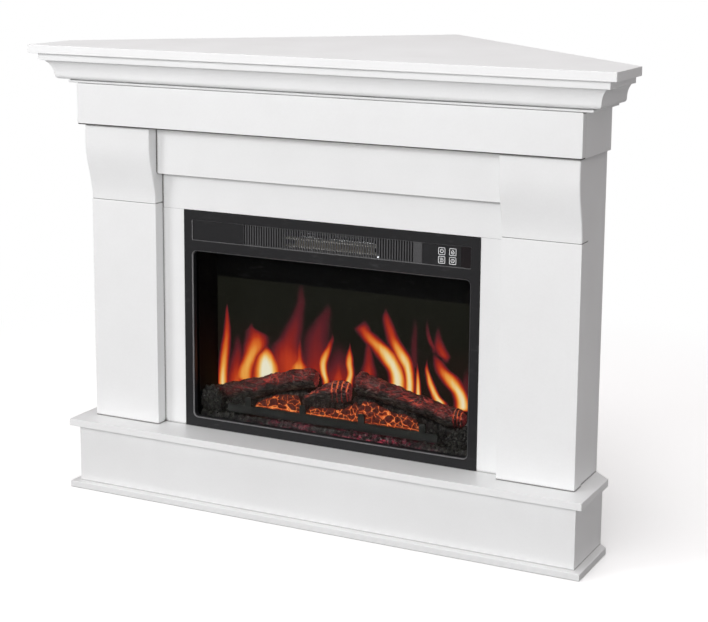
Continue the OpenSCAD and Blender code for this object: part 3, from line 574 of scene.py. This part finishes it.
def mat_coal():
    """Moulded rocks and small coals: grey-black with pale specks, with red glints near the floor."""
    m, t, b, p = material("Coal and Rock")
    fine = t.noise(p, 300, 5, 0.7)
    speck = t.cells(p, 420)
    mask = t.times(t.span(speck, 0.10, 0.25, 1, 0), t.span(fine, 0.45, 0.6))
    colour = t.tones(fine, (0.32, 40, 40, 38), (0.55, 92, 91, 87), (0.7, 142, 139, 133))
    colour = t.mix(mask, colour, srgb(216, 214, 218))
    # painted shade: the gaps between coals and rocks, and the bed's sides, are darkened nearly to black
    gap = t.mark("gap")
    colour = t.mix(t.times(gap, 0.85), colour, srgb(12, 12, 12))
    x, _, z = t.xyz(p)
    low = t.span(z, 0.154, 0.168, 1, 0)
    glint = t.span(t.noise(t.scale(p, (0.55, 1, 1)), 170, 4, 0.7), 0.50, 0.68)
    zone = t.span(t.noise(t.scale(p, (1, 0.3, 0.3)), 14, 2), 0.40, 0.58)
    under = t.times(t.times(low, glint), zone)
    middle = t.span(t.math("ABSOLUTE", t.minus(x, 0.01)), 0.13, 0.23, 1, 0.05, smooth=True)
    under = t.times(under, middle)
    red = t.tones(under, (0.04, 0, 0, 0), (0.3, 90, 26, 44), (0.8, 176, 58, 74))
    t.fill(
        b, Base_Color=colour, Roughness=t.sweep(fine, 0.6, 0.85),
        Normal=t.bump(fine, 0.6, 0.001), Emission_Color=red, Emission_Strength=0.9,
    )
    return m


WHITE = mat_white_lacquer("White Lacquer", reach=0.004, joint_shade=0.8)
WHITE_BOARDS = mat_white_lacquer("White Lacquer Boards", (-0.55, -0.36))
WHITE_OVERHANG = mat_white_lacquer("White Lacquer Overhangs", (-0.26, -0.08))
BLACK = mat_black_coat(
    "Black Powder Coat", (0.007, 0.007, 0.008, 1), (0.018, 0.018, 0.0195, 1), 0.34, 0.5, sheen=0.26
)
# light metal: a painted highlight along the edges of the frame's openings
LIP_HIGHLIGHT = mat_metal("Frame Lip Highlight", (0.22, 0.22, 0.225, 1), (0.34, 0.34, 0.345, 1), 0.3, 0.45, metallic=0.5)
ICON = mat_plain(
    "Printed Icon", 2500, 2, (0.76, 0.77, 0.78, 1), (0.90, 0.91, 0.92, 1), 0.45, 0.6, glow=0.55
)
BARK = mat_bark()
EMBER = mat_ember()
COAL = mat_coal()


# The starts of the nodes' names, and their finish
FINISHES = {
    "top_shelf crown base_cap floor_board plinth": WHITE,
    "surround side_panel pilaster corbel": WHITE_BOARDS,
    "header_panel frieze_front frieze_side": WHITE_OVERHANG,
    "frieze_beam shelf_rail": mat_primed_back(),
    "rear_post": mat_pine(),
    "trim_frame blank_panel control_panel": BLACK,
    "louvre_panel": mat_black_coat("Louvre Coat", srgb(42, 42, 43), srgb(84, 84, 86), 0.32, 0.5, sheen=0.6),
    "receiver_window": mat_plain(
        "Receiver Window", 40, 3, (0.008, 0.006, 0.007, 1), (0.013, 0.009, 0.010, 1), 0.10, 0.2, 0.25
    ),
    "status_led": mat_lamp("Status Lamp", (0.92, 0.96, 1, 1), 1),
    "control_board": mat_circuit(),
    "button": mat_plastic("Key Plastic", (0.012, 0.012, 0.013, 1), (0.024, 0.024, 0.026, 1), 0.45),
    "chassis rear_cover": mat_black_coat(
        "Chassis Coat", srgb(34, 34, 36), srgb(56, 56, 58), 0.38, 0.58, 1.7, dust=0.32
    ),
    "firebox_liner": mat_black_coat(
        "Matt Black", grey(0.004), (0.010, 0.010, 0.009, 1), 0.7, 0.85, 2, sheen=0.12
    ),
    "front_glass": mat_glass(),
    "flame_screen": mat_flame_screen(),
    "led_board": mat_lamp("Bed Lamps", (1, 0.42, 0.08, 1), 2),
    "grate": mat_black_coat("Grate Paint", srgb(34, 36, 33), srgb(52, 54, 50), 0.42, 0.6, 2),
    "log": BARK,
    "embers": EMBER,
    "ember_bed": COAL,
    "flame_rotor blower_wheel": mat_metal(
        "Bright Aluminium", (0.72, 0.72, 0.73, 1), (0.86, 0.86, 0.87, 1), 0.15, 0.3
    ),
    "rotor_motor blower_motor": mat_metal(
        "Motor Steel", (0.28, 0.28, 0.30, 1), (0.42, 0.42, 0.44, 1), 0.35, 0.55
    ),
    "heating_element": mat_metal(
        "Heater Fins", (0.76, 0.73, 0.66, 1), (0.95, 0.92, 0.86, 1), 0.3, 0.5, (1, 1, 0.05), 0.15
    ),
    "wood_screws blower_housing insert_brackets": mat_metal(
        "Zinc Plate", (0.42, 0.43, 0.45, 1), (0.62, 0.63, 0.65, 1), 0.28, 0.5
    ),
    "rotor_bush cable_gland": mat_plastic(
        "Moulded Plastic", (0.016, 0.016, 0.017, 1), (0.030, 0.030, 0.031, 1), 0.55
    ),
}
WHITES = (WHITE, WHITE_BOARDS, WHITE_OVERHANG)
BOARD_EDGES = {
    "crown": 0.35, "crown_return": 0.35, "top": 1.2, "pilaster": 1.3, "corbel": 2.2, "frieze": 2.3,
    "header": 2.3, "plinth": 1.0,
}
PLAIN_EDGE = 0.9


def dress_nodes():
    """Gives each node its finish, and the white boards their rounded edges."""
    for name, obj in NODE.items():
        finish = next(f for starts, f in FINISHES.items() if name.startswith(tuple(starts.split())))
        obj.data.materials.clear()
        obj.data.materials.append(finish)
        if finish in WHITES:
            soften(BOARD_EDGES.get(name.rsplit("_", 1)[0], PLAIN_EDGE), 2, name)


# the nodes whose flat faces hold needle triangles, which a bevel would open
NEEDLED = ("trim_frame",)


def modify(name, label, kind, **settings):
    m = NODE[name].modifiers.new(label, kind)
    for k, v in settings.items():
        setattr(m, k, v)


def soften(width, segments, *names):
    """A small rounded edge, in millimetres, on CAD nodes whose faces are welded together first."""
    for name in names:
        modify(name, "weld", "WELD", merge_threshold=0.00001)
        if name in NEEDLED:
            modify(name, "planar", "DECIMATE", decimate_type="DISSOLVE", angle_limit=math.radians(1))
        modify(
            name, "edge", "BEVEL", width=mm(width), segments=segments, limit_method="ANGLE",
            angle_limit=math.radians(30),
        )
        modify(name, "flat", "WEIGHTED_NORMAL", keep_sharp=True, weight=100)


# --- mesh helpers
noise.seed_set(11)  # noise_vector takes its offsets from this


def new_object(name, data):
    obj = bpy.data.objects.new(name, data)
    bpy.context.scene.collection.objects.link(obj)
    return obj


def piece(name, verts, faces, mat, body="mantel", smooth=True, attributes=None):
    mesh = bpy.data.meshes.new(name)
    mesh.from_pydata(verts, [], faces)
    mesh.validate()
    mesh.update()
    for key, values in (attributes or {}).items():
        a = mesh.attributes.new(key, "FLOAT", "POINT")
        a.data.foreach_set("value", values)
    if smooth:
        mesh.shade_smooth()
    mesh.materials.append(mat)
    obj = new_object(name, mesh)
    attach(obj, body)
    return obj


def wall_gap(v):
    """How much farther the second nearest cell centre is: 0 on the wall between two cells."""
    near, _ = noise.voronoi(v)
    return near[1] - near[0]


def stretch(p, along, across):
    return Vector((p.x * along, p.y * across, p.z * across))


def smooth(f):
    return f * f * (3 - 2 * f)


def clip(f):
    return min(1.0, max(0.0, f))


def ridged(v, octaves):
    """Ridged noise, 0 in the cracks and 1 on the plates."""
    total, gain, amp = 0.0, 0.0, 1.0
    for k in range(octaves):
        total += amp * abs(noise.noise(v * (2 ** k)))
        gain += amp
        amp *= 0.5
    return min(1.0, 2.2 * total / gain)


def lump_mesh(rings, around, along, seed, bark, flat=None):
    """A closed rough body through rings [x, y, z, height radius, depth radius].

    bark(point on the body, angle) gives (push out in metres, crack, ash).
    """
    verts, crack, ash, upper = lists = [], [], [], []

    def keep(*values):
        for into, value in zip(lists, values):
            into.append(value)

    last = len(rings) - 1
    for i in range(along + 1):
        u = i / along * last
        k = min(int(u), last - 1)
        f = u - k
        a, c = rings[k], rings[k + 1]
        x, y, z, rz, ry = (a[n] + (c[n] - a[n]) * (f if n == 0 else smooth(f)) for n in range(5))
        for j in range(around):
            t = 2 * math.pi * j / around
            direction = Vector((0, math.cos(t), math.sin(t)))
            p = Vector((x, y + ry * math.cos(t), z + rz * math.sin(t)))
            push, cr, ah = bark(p, t)
            q = p + direction * push
            if flat is not None:
                q.z = max(q.z, flat)
            keep(q, cr, ah, direction.z)
    faces = []
    for i in range(along):
        for j in range(around):
            n = (j + 1) % around
            faces.append((i * around + j, (i + 1) * around + j, (i + 1) * around + n, i * around + n))
    # close both ends with a few shrinking rings
    for row, sign in ((0, -1), (along, 1)):
        ring = [row * around + j for j in range(around)]
        centre = sum((verts[k] for k in ring), Vector()) / around
        previous = ring
        for step, share in enumerate((0.9, 0.6, 0.3)):
            new = []
            for j, k in enumerate(ring):
                v = centre + (verts[k] - centre) * share
                jag = noise.noise(v * 160 + Vector((seed, 0, 0))) * 0.0016
                v.x += sign * (0.0006 * (step + 1) + jag)
                new.append(len(verts))
                keep(v, 0.2 + 0.5 * ridged(v * 90, 2) ** 2, 0.0, 0.6)
            for j in range(around):
                n = (j + 1) % around
                quad = (previous[j], previous[n], new[n], new[j])
                faces.append(quad[::sign])
            previous = new
        faces.append(tuple(previous[::sign]))
    return verts, faces, crack, ash, upper


def streaks(p, x0, x1, pitch):
    """Upright splits in a cut end that spans x0 to x1, as crack strength."""
    if not x0 < p.x < x1:
        return 0.0
    wave = p.x + 0.0012 * noise.noise(Vector((p.x * 300, 2.0, p.z * 55)))
    line = abs((wave / pitch) % 1.0 - 0.5) * 2
    return max(0.0, 1 - line / 0.30)


def knot(p, x, z, radius):
    """The rings of a knot on the front of a log, as crack strength."""
    reach = math.hypot(p.x - x, p.z - z) / radius
    return max(0.0, math.cos(reach * 8.0)) if reach < 1.15 else 0.0


def bark_rule(seed, coarse, deep, feature=None):
    """Long plates of bark that run along the log, split by narrow cracks."""
    s = Vector((seed * 3.7, seed * 1.3, seed * 2.1))

    def rule(p, t):
        bend = noise.noise_vector(stretch(p, 40, 50) + s) * 0.8
        edge = wall_gap(stretch(p, 44, 120) + s + bend)
        crack = max(0.0, 1 - edge / 0.20)
        grain = noise.noise(stretch(p, 60, 420) + s)
        swell = noise.noise(stretch(p, 14, 24) - s)
        chips = ridged(stretch(p, 60, 130) + s, 3)
        push = coarse * (swell - 0.3) - deep * crack ** 1.4 + 0.0007 * grain - 0.0014 * (1 - chips)
        glow = max(0.0, 1 - edge / 0.16) * (0.7 + 0.9 * max(0.0, swell + 0.25))
        extra = feature(p) if feature and math.cos(t) < 0.3 else 0.0
        push -= 0.0018 * extra
        glow = min(1.0, glow) * (0.4 if extra else 1.0)
        ash = max(0.0, math.sin(t)) * max(0.0, noise.noise(stretch(p, 35, 60) + s * 2) - 0.02) * 2.4
        return push, max(glow, 2.4 * extra), min(1.0, ash)

    return rule


def ember_rule(seed):
    """Rounded cells of crust with bright seams between them."""
    s = Vector((seed * 2.9, seed * 4.1, seed * 1.7))

    def rule(p, t):
        q = Vector((p.x * 68, p.y * 58, p.z * 80)) + s
        bend = noise.noise_vector(p * 110 + s) * 0.28
        edge = wall_gap(q + bend)
        crack = max(0.0, 1 - edge / 0.15)
        rim = max(0.0, 1 - abs(p.z - EMBER_RIM) / 0.0018)
        crack = max(crack, rim if math.cos(t) < 0 else 0.0)
        swell = noise.noise(p * 45 - s)
        dome = min(1.0, edge / 0.5)
        push = 0.0012 * swell - 0.0026 * crack ** 1.5 + 0.0010 * dome - 0.0014
        ash = max(0.0, noise.noise(p * 70 + s * 2) - 0.12) * 2.0 * (1 - crack)
        return push, crack, min(1.0, ash)

    return rule


BED_TOP = mm(162)
EMBER_RIM = BED_TOP + mm(17.5)
LOG_FRONT, LOG_BACK = 151, 188
LOG_MID = (LOG_FRONT + LOG_BACK) / 2


def rings_from(rows, y=None):
    """Rings in metres from rows [x, (y), z, height radius, depth radius] in millimetres."""
    full = rows if y is None else [(row[0], y, *row[1:]) for row in rows]
    return [[mm(x), depth(back), mm(z), mm(rz), mm(ry)] for x, back, z, rz, ry in full]


def merge(parts):
    """Joins several (verts, faces, crack, ash, upper) into one."""
    whole = [], [], [], [], []
    for part in parts:
        n = len(whole[0])
        for k, (into, more) in enumerate(zip(whole, part)):
            into += [tuple(i + n for i in face) for face in more] if k == 1 else more
    return whole


LOG_ROWS = {
    "log_left": (5, [
        [-268, 174.5, 18, 12], [-261, 176, 23.5, 15.5], [-220, 187.5, 23, 17.5], [-180, 201.5, 21.2, 17.5],
        [-127, 219.5, 19.8, 17], [-90, 230.5, 21, 17.4], [-62, 235.5, 21, 17], [-50, 235.5, 16.5, 13],
    ]),
    "log_right": (12, [
        [31.5, 238.5, 17, 12], [40, 239.5, 24, 16.5], [70, 234.5, 22.6, 17.5], [99, 228.5, 21, 17.5],
        [156, 215.5, 19.2, 17], [216, 202.5, 19.4, 16.5], [234, 200.5, 18.5, 15], [242, 199.5, 13, 11],
    ]),
}
STUMP_SEED = 21
STUMP_ROWS = [
    [-60, 144.6, 206, 6.5, 5.0], [-52, 144.6, 208, 9, 5.8], [-45, 144.8, 210, 11, 6.0],
    [-37, 150.6, 213.5, 14, 12], [-20, 151.6, 219, 19, 12.6], [-4, 151.6, 223, 22.6, 12.6],
    [10, 151.6, 224.5, 23, 12.6], [21, 151.2, 225.5, 22, 12], [28, 151, 225.5, 18.5, 10],
]


LOG_FEATURE = {
    "log_left": lambda p: 0.42 * knot(p, -0.128, 0.226, 0.009),
    "log_right": lambda p: streaks(p, 0.223, 0.245, 0.0062),
    "log_centre": lambda p: streaks(p, -0.009, 0.026, 0.0098),
}


def charred_log(node, body):
    v, f, crack, ash, upper = body
    obj = piece("charred_" + node, v, f, BARK, attributes={"crack": crack, "ash": ash, "upper": upper})
    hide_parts(node)


def make_logs():
    for node, (seed, rows) in LOG_ROWS.items():
        rule = bark_rule(seed, 0.0024, 0.0040, LOG_FEATURE[node])
        charred_log(node, lump_mesh(rings_from(rows, LOG_MID), 130, 360, seed, rule, BED_TOP))
    rule = bark_rule(STUMP_SEED, 0.0018, 0.0030, LOG_FEATURE["log_centre"])
    charred_log("log_centre", lump_mesh(rings_from(STUMP_ROWS), 110, 160, STUMP_SEED, rule))


def chunk_rings(tops, y0, y1):
    """Rings for a lump that lies on the bed; tops is a list of [x, height]."""
    out = []
    for x, top in tops:
        h = mm(top) - BED_TOP
        out.append([mm(x), depth((y0 + y1) / 2), BED_TOP + 0.4 * h, 0.58 * h, mm(y1 - y0) / 2])
    return out


EMBER_ROWS = [
    (31, [[-168, 175], [-157, 187], [-138, 197], [-117, 206], [-93, 210], [-76, 210], [-66, 192]]),
    (33, [[-55, 185], [-47, 192], [-20, 194], [2, 195], [20, 199], [34, 207], [43, 213], [49, 205]]),
    (34, [[50, 208], [59, 218], [76, 219], [98, 211], [119, 204], [137, 205], [158, 199], [169, 185]]),
]
ROCK_ROWS = [
    (61, [[-270, 198], [-263, 208], [-250, 209], [-240, 205], [-228, 188]], 127, 150),
    (62, [[-227, 178], [-214, 184], [-202, 188], [-188, 185], [-175, 174]], 138.4, 150),
    (63, [[174, 175], [186, 186], [200, 186], [212, 182], [220, 176]], 138.4, 150),
    (64, [[220, 176], [232, 186], [248, 198], [260, 200], [269.5, 192]], 127, 150),
    (65, [[245.5, 198], [250, 208], [260, 211], [269.5, 205]], 152, 186),
]


def make_embers():
    parts = []
    for seed, tops in EMBER_ROWS:
        rings = chunk_rings(tops, 138.4, 150.8)
        along = int((tops[-1][0] - tops[0][0]) * 1.7)
        parts.append(lump_mesh(rings, 96, along, seed, ember_rule(seed), BED_TOP))
    v, f, c, h, _ = merge(parts)
    obj = piece("glowing_embers", v, f, EMBER, attributes={"crack": c, "ash": h})
    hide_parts("embers")


def rock_rule(seed):
    s = Vector((seed * 5.1, seed * 2.2, seed * 3.3))

    def rule(p, t):
        swell = noise.noise(p * 38 + s)
        bend = noise.noise_vector(p * 120 + s) * 0.3
        edge = wall_gap(p * 120 + s + bend)
        # gap sinks the walls between facets and also carries their painted shade
        gap = max(0.0, 1 - edge / 0.28)
        dome = min(1.0, edge / 0.6)
        facets = ridged(p * 160 + s, 2)
        return 0.0016 * swell + 0.0022 * dome - 0.0030 * gap - 0.0008 * (1 - facets) - 0.0014, gap, 0.0

    return rule


MOUND_LINE = [
    (-260, 162), (-220, 167.5), (-180, 183.5), (-127, 202.5), (-90, 211.5), (-66, 215.5), (-58, 203.5),
    (24, 203.5), (31, 217.5), (42, 217.5), (70, 214.5), (99, 210.5), (156, 199.5), (216, 185.5),
    (234, 184.5), (250, 162),
]


def mound_height(x):
    """Height of the mound under the logs at x, in metres."""
    x *= 1000
    for (x0, z0), (x1, z1) in zip(MOUND_LINE, MOUND_LINE[1:]):
        if x0 <= x <= x1:
            return mm(z0 + (z1 - z0) * (x - x0) / (x1 - x0))
    return BED_TOP


BED_LIP, BED_FRONT, MOUND_FRONT = 149.5, 124.5, 152


def bed_height(x, y):
    """The bed's smooth top: a ramp behind the glass, a flat under the embers, a mound at the back."""
    back = (y + HALF_DEPTH) * 1000
    ramp = mm(BED_LIP + clip((back - BED_FRONT) / 7.5) * 11.5)
    return ramp + (mound_height(x) - BED_TOP) * smooth(clip((back - MOUND_FRONT) / 9))


def make_bed():
    """The moulded bed: an uneven skin of small coals, and rocks heaped at both ends."""
    x_half, y0, y1 = 0.2704, depth(BED_FRONT), depth(LOG_BACK)
    nx, ny = 560, 84
    verts, gap = [], []
    for i in range(nx + 1):
        for j in range(ny + 1):
            x = -x_half + 2 * x_half * i / nx
            y = y0 + (y1 - y0) * j / ny
            d, _ = noise.voronoi(Vector((x * 165, y * 165, 3.1)))
            tall = 0.55 + 0.45 * noise.noise(Vector((x, y, 0.4)) * 95)
            coal = max(0.0, 0.8 - d[0]) * tall
            z = bed_height(x, y) - 0.0026 + 0.0060 * coal + 0.0006 * noise.noise(Vector((x, y, 0)) * 600)
            verts.append(Vector((x, y, z)))
            # how deep between coals a point lies, which also carries the painted shade there
            gap.append(max(0.0, 1 - coal / 0.25))
    row = ny + 1
    faces = [
        (i * row + j, (i + 1) * row + j, (i + 1) * row + j + 1, i * row + j + 1)
        for i in range(nx) for j in range(ny)
    ]
    rim = [i * row for i in range(nx + 1)] + [nx * row + j for j in range(1, ny + 1)]
    rim += [i * row + ny for i in range(nx - 1, -1, -1)] + [j for j in range(ny - 1, 0, -1)]
    n, m = len(verts), len(rim)
    floor_z = mm(134.2)
    verts += [Vector((verts[k].x, verts[k].y, floor_z)) for k in rim]
    faces += [(rim[k], n + k, n + (k + 1) % m, rim[(k + 1) % m]) for k in range(m)]
    blank = [0.0] * len(verts)
    # the bed's sides are all gap, so fully in painted shade
    gap += [1.0] * m
    parts = [(verts, faces, gap, blank, blank)]
    for seed, tops, ya, yb in ROCK_ROWS:
        parts.append(lump_mesh(chunk_rings(tops, ya, yb), 72, 60, seed, rock_rule(seed), BED_TOP - 0.003))
    v, f, c, *_ = merge(parts)
    obj = piece("coal_bed", v, f, COAL, attributes={"gap": c})
    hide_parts("ember_bed")


# --- loose coals on the bed (geometry nodes)
FULL_TURNS = (6.28, 6.28, 6.28)


def make_scatter_group():
    """Scatters lumpy little coals over an area, each with its own turn and size."""
    g, t, i, o = group(
        "Scatter Coals",
        [
            ("Area", "Geometry"), ("Density", "Float", 9000.0), ("Smallest", "Float", 0.35),
            ("Largest", "Float", 1.0), ("Seed", "Int", 4), ("Coal", "Material"),
        ],
        [("Geometry", "Geometry")], "GeometryNodeTree",
    )
    seed = i["Seed"]
    spots = t.add("GeometryNodeDistributePointsOnFaces", Mesh=i["Area"], Density=i["Density"], Seed=seed)
    ball = t.add("GeometryNodeMeshIcoSphere", Radius=0.0042, Subdivisions=3)
    at = t.add("GeometryNodeInputPosition")
    swell = t.minus(t.add("TexNoise", Vector=at, Scale=260.0), 0.55)
    push = t.add("VectorMath", props={"operation": "SCALE"}, i0=at, Scale=swell)
    lump = t.add("GeometryNodeSetPosition", Geometry=ball, Offset=push)
    turn = t.add(
        "FunctionNodeRandomValue", props={"data_type": "FLOAT_VECTOR"}, i1=FULL_TURNS, Seed=seed
    )
    size = t.add("FunctionNodeRandomValue", out=1, i2=i["Smallest"], i3=i["Largest"], Seed=seed)
    coals = t.add("GeometryNodeInstanceOnPoints", Points=spots, Instance=lump, Rotation=turn, Scale=size)
    coals = t.add("GeometryNodeRealizeInstances", i0=coals)
    t.fill(o, i0=t.add("GeometryNodeSetMaterial", Geometry=coals, Material=i["Coal"]))
    return g


def make_pebbles():
    """Small loose coals along the front of the bed, on a strip that rises towards the back."""
    x_half, y0, y1, z = 0.262, depth(126.5), depth(132.5), BED_TOP - 0.006
    verts = [(-x_half, y0, z), (x_half, y0, z), (x_half, y1, z + 0.005), (-x_half, y1, z + 0.005)]
    mesh = bpy.data.meshes.new("pebble_area")
    mesh.from_pydata(verts, [], [(0, 1, 2, 3)])
    obj = new_object("loose_coals", mesh)
    scatter = obj.modifiers.new("scatter", "NODES")
    scatter.node_group = make_scatter_group()
    for socket in scatter.node_group.interface.items_tree:
        if socket.name == "Coal":
            scatter[socket.identifier] = COAL
    posed = obj.evaluated_get(bpy.context.evaluated_depsgraph_get())
    obj.data = bpy.data.meshes.new_from_object(posed)
    obj.modifiers.clear()
    obj.data.shade_smooth()
    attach(obj, "mantel")


# --- button faces
BUTTON_FACE_Y = depth(108.7)
PRINT_THICK, PRINT_SUNK = 0.00012, 0.00002


def ribbon(points, width, closed=False):
    """A flat printed line in the XZ plane through [x, z] points, in millimetres."""
    pts = [Vector((p[0], p[1])) for p in points]
    n = len(pts)
    verts, faces = [], []
    for k in range(n):
        a = pts[(k - 1) % n] if closed or k > 0 else pts[k]
        b = pts[(k + 1) % n] if closed or k < n - 1 else pts[k]
        d = (b - a).normalized()
        side = Vector((-d.y, d.x)) * width / 2
        for y in (0, 1):
            verts += [(pts[k] + side, y), (pts[k] - side, y)]
    count = n if closed else n - 1
    for k in range(count):
        a, b = 4 * k, 4 * ((k + 1) % n)
        faces += [(a + 2, a + 3, b + 3, b + 2), (a, b, b + 1, a + 1),
                  (a, a + 2, b + 2, b), (a + 1, b + 1, b + 3, a + 3)]
    if not closed:
        e = 4 * (n - 1)
        faces += [(0, 1, 3, 2), (e, e + 2, e + 3, e + 1)]
    return verts, faces


def arc(r, a0, a1, n, cx=0.0, cz=0.0):
    """Points [x, z] on an arc from a0 to a1 degrees."""
    turns = [math.radians(a0 + (a1 - a0) * k / n) for k in range(n + 1)]
    return [(cx + r * math.cos(a), cz + r * math.sin(a)) for a in turns]


def rounded_box(x, z0, z1, r, n, inset=0.0):
    """The outline of a box from -x to x and z0 to z1, with corners of radius r."""
    out = []
    for cx, cz, a in ((x - r, z1 - r, 0), (r - x, z1 - r, 90), (r - x, z0 + r, 180), (x - r, z0 + r, 270)):
        out += arc(r - inset, a, a + 90, n, cx, cz)
    return out


def print_on(name, body, cx, cz, strokes):
    """Printed strokes [(points, width, closed)] on a button's face, centred on it."""
    verts, faces = [], []
    for points, width, closed in strokes:
        v, f = ribbon(points, width, closed)
        n = len(verts)
        verts += [
            ((cx + p.x) / 1000, BUTTON_FACE_Y + PRINT_SUNK - (PRINT_THICK if y else 0), (cz + p.y) / 1000)
            for p, y in v
        ]
        faces += [tuple(k + n for k in face) for face in f]
    piece(name, verts, faces, ICON, body, smooth=False)


def make_button_prints():
    outline = (rounded_box(5.9, -5.9, 5.9, 1.6, 6), 0.55, True)
    power = [(arc(2.9, 115, 425, 24), 0.6, False), ([(0, 1.2), (0, 4.0)], 0.6, False)]
    flame = [
        ([(0.3, 4.1), (-0.9, 2.4), (-2.4, 0.3), (-2.7, -1.4), (-1.7, -3.1), (0, -3.7), (1.7, -3.1),
          (2.7, -1.5), (2.3, 0.4), (1.5, 1.4), (1.2, 0.6), (0.9, 2.2)], 0.55, True),
        ([(0.1, -0.4), (-0.9, -1.7), (0, -2.6), (0.9, -1.7)], 0.5, True),
    ]
    waves = [
        ([(x + 0.7 * math.sin(k * 0.785), -1.6 + k * 0.65) for k in range(9)], 0.5, False)
        for x in (-2.3, 0, 2.3)
    ] + [([(-3.4, -3.2), (3.4, -3.2)], 0.6, False)]
    clock = [(arc(3.1, 0, 345, 24), 0.55, True), ([(0, 2.0), (0, 0), (1.5, -0.9)], 0.5, False)]
    for name, x, z, strokes in (
        ("power", 219.8, 508.9, power), ("flame", 240.0, 508.9, flame),
        ("heater", 219.8, 493.8, waves), ("timer", 240.0, 493.8, clock),
    ):
        print_on(f"{name}_button_print", f"button_{name}", x, z, [outline] + strokes)


# --- frame lip: light chamfers, a painted highlight round the openings
FRAME_FRONT = depth(107) + 0.0001
LIP_THICK = 0.0006
LIP_INSET = 0.02


def make_lip(name, half, z0, z1, r, wide, deep):
    """A narrow chamfer round an opening in the trim frame, lighter than the frame as a painted highlight,
    in millimetres.
    """
    y_back = FRAME_FRONT + mm(deep)

    def loop(inset, y):
        return [(px / 1000, y, pz / 1000) for px, pz in rounded_box(half, z0, z1, r, 8, inset)]

    y_in = y_back + LIP_THICK
    rings = [loop(LIP_INSET, FRAME_FRONT), loop(wide, y_back), loop(wide, y_in), loop(LIP_INSET, y_in)]
    verts = [v for ring in rings for v in ring]
    m = len(rings[0])
    faces = []
    for k in range(4):
        a, b = k * m, ((k + 1) % 4) * m
        faces += [(a + j, b + j, b + (j + 1) % m, a + (j + 1) % m) for j in range(m)]
    piece(name, verts, faces, LIP_HIGHLIGHT, smooth=False)


def make_frame_lips():
    make_lip("window_lip", 274.5, 150, 465, 10, 1.5, 2.4)
    make_lip("strip_lip", 274, 483, 521, 1.2, 0.9, 1.6)


# --- stage
WORLD_LEVEL = 0.38
FLOOR_LIFT = 0.27
FLOOR_BOUNCE = 0.33
# Each lamp as (place, aim, size, watts)
LAMPS = {
    "key_left": ((-2.9, -3.6, 1.9), (0, 0, 0.8), (1.6, 1.4), 67),
    "front_box": ((0.3, -3.4, 1.5), (0, 0, 1), (3, 0.8), 53),
    "top_wash": ((0, -0.2, 3.6), (0, 0, 0.8), (2.6, 2.6), 66),
    "right_low": ((3.4, -1.6, 0.35), (0.5, 0, 0.2), (1.2, 0.6), 12),
}


def make_world():
    """White to look at, and a dimmer, slightly warm grey to be lit by."""
    world = bpy.data.worlds.new("Studio")
    bpy.context.scene.world = world
    world.use_nodes = True
    t = Tree(world.node_tree)
    seen = t.ray("Camera")
    strength = t.times_plus(seen, 1.0 - WORLD_LEVEL, WORLD_LEVEL)
    t.fill(t.nodes["Background"], Color=t.mix(seen, (0.86, 0.80, 0.805, 1), grey(1.0)), Strength=strength)


def make_floor():
    """A pale floor that fades to pure white away from the object."""
    bpy.ops.mesh.primitive_plane_add(size=40, location=(0, 0, -0.0004))
    floor = bpy.context.object
    floor.name = "studio_floor"
    m, t, b, p = material("Studio Floor")
    seen = t.ray("Camera")
    spread = t.add("VectorMath", out="Value", props={"operation": "LENGTH"}, i0=p)
    far = t.span(spread, 0.8, 1.6, smooth=True)
    colour = t.mix(seen, grey(FLOOR_BOUNCE), grey(0.93))
    t.fill(b, Base_Color=colour, Roughness=0.9, Specular_IOR_Level=0.0)
    lift = t.add("Emission", Color=grey(1.0), Strength=t.times(seen, FLOOR_LIFT))
    near = t.add("AddShader", i0=b.outputs[0], i1=lift)
    t.surface(t.times(far, seen), near, t.add("Emission", Color=grey(1.0), Strength=1.0))
    floor.data.materials.append(m)


def make_lamps():
    for name, (at, aim, size, watts) in LAMPS.items():
        data = bpy.data.lights.new(name, "AREA")
        data.shape = "RECTANGLE"
        data.size, data.size_y = size
        data.energy = watts
        obj = new_object(name, data)
        obj.location = at
        obj.rotation_mode = "QUATERNION"
        obj.rotation_quaternion = (Vector(aim) - Vector(at)).to_track_quat("-Z", "Y")
        # seen from above, its mirror image would wash out the shelf
        obj.visible_glossy = name != "top_wash"


def make_camera():
    """The photo's viewpoint: from the right, slightly above the shelf, with a small vertical shift."""
    focal_px, width_px, sensor = 1676.57, 708, 36
    yaw, pitch, roll = 0.4634, 0.17888, -0.00721
    data = bpy.data.cameras.new("Camera")
    data.sensor_width = sensor
    data.lens = focal_px / width_px * sensor
    data.shift_y = -0.12
    data.clip_start, data.clip_end = 0.05, 100
    cam = new_object("Camera", data)
    right = Vector((math.cos(yaw), math.sin(yaw), 0))
    ahead = Vector((-math.sin(yaw) * math.cos(pitch), math.cos(yaw) * math.cos(pitch), -math.sin(pitch)))
    up = right.cross(ahead)
    turned_right = right * math.cos(roll) - up * math.sin(roll)
    turned_up = right * math.sin(roll) + up * math.cos(roll)
    m = Matrix((turned_right, turned_up, -ahead)).transposed().to_4x4()
    m.translation = Vector((1.32625, -2.43715 - HALF_DEPTH, 1.05182))
    cam.matrix_world = m
    bpy.context.scene.camera = cam


# --- build
dress_nodes()
soften(0.7, 2, "trim_frame")
soften(0.35, 1, "louvre_panel", "blank_panel", "control_panel", "receiver_window")
soften(0.5, 2, "button_power", "button_flame", "button_heater", "button_timer")
soften(0.3, 1, "chassis_wrap", "chassis_top", "rear_cover", "insert_brackets")
soften(1.0, 1, "grate")
make_logs()
make_embers()
make_bed()
make_pebbles()
make_button_prints()
make_frame_lips()
make_world()
make_floor()
make_lamps()
make_camera()

scene = bpy.context.scene
scene.view_settings.view_transform = "Standard"
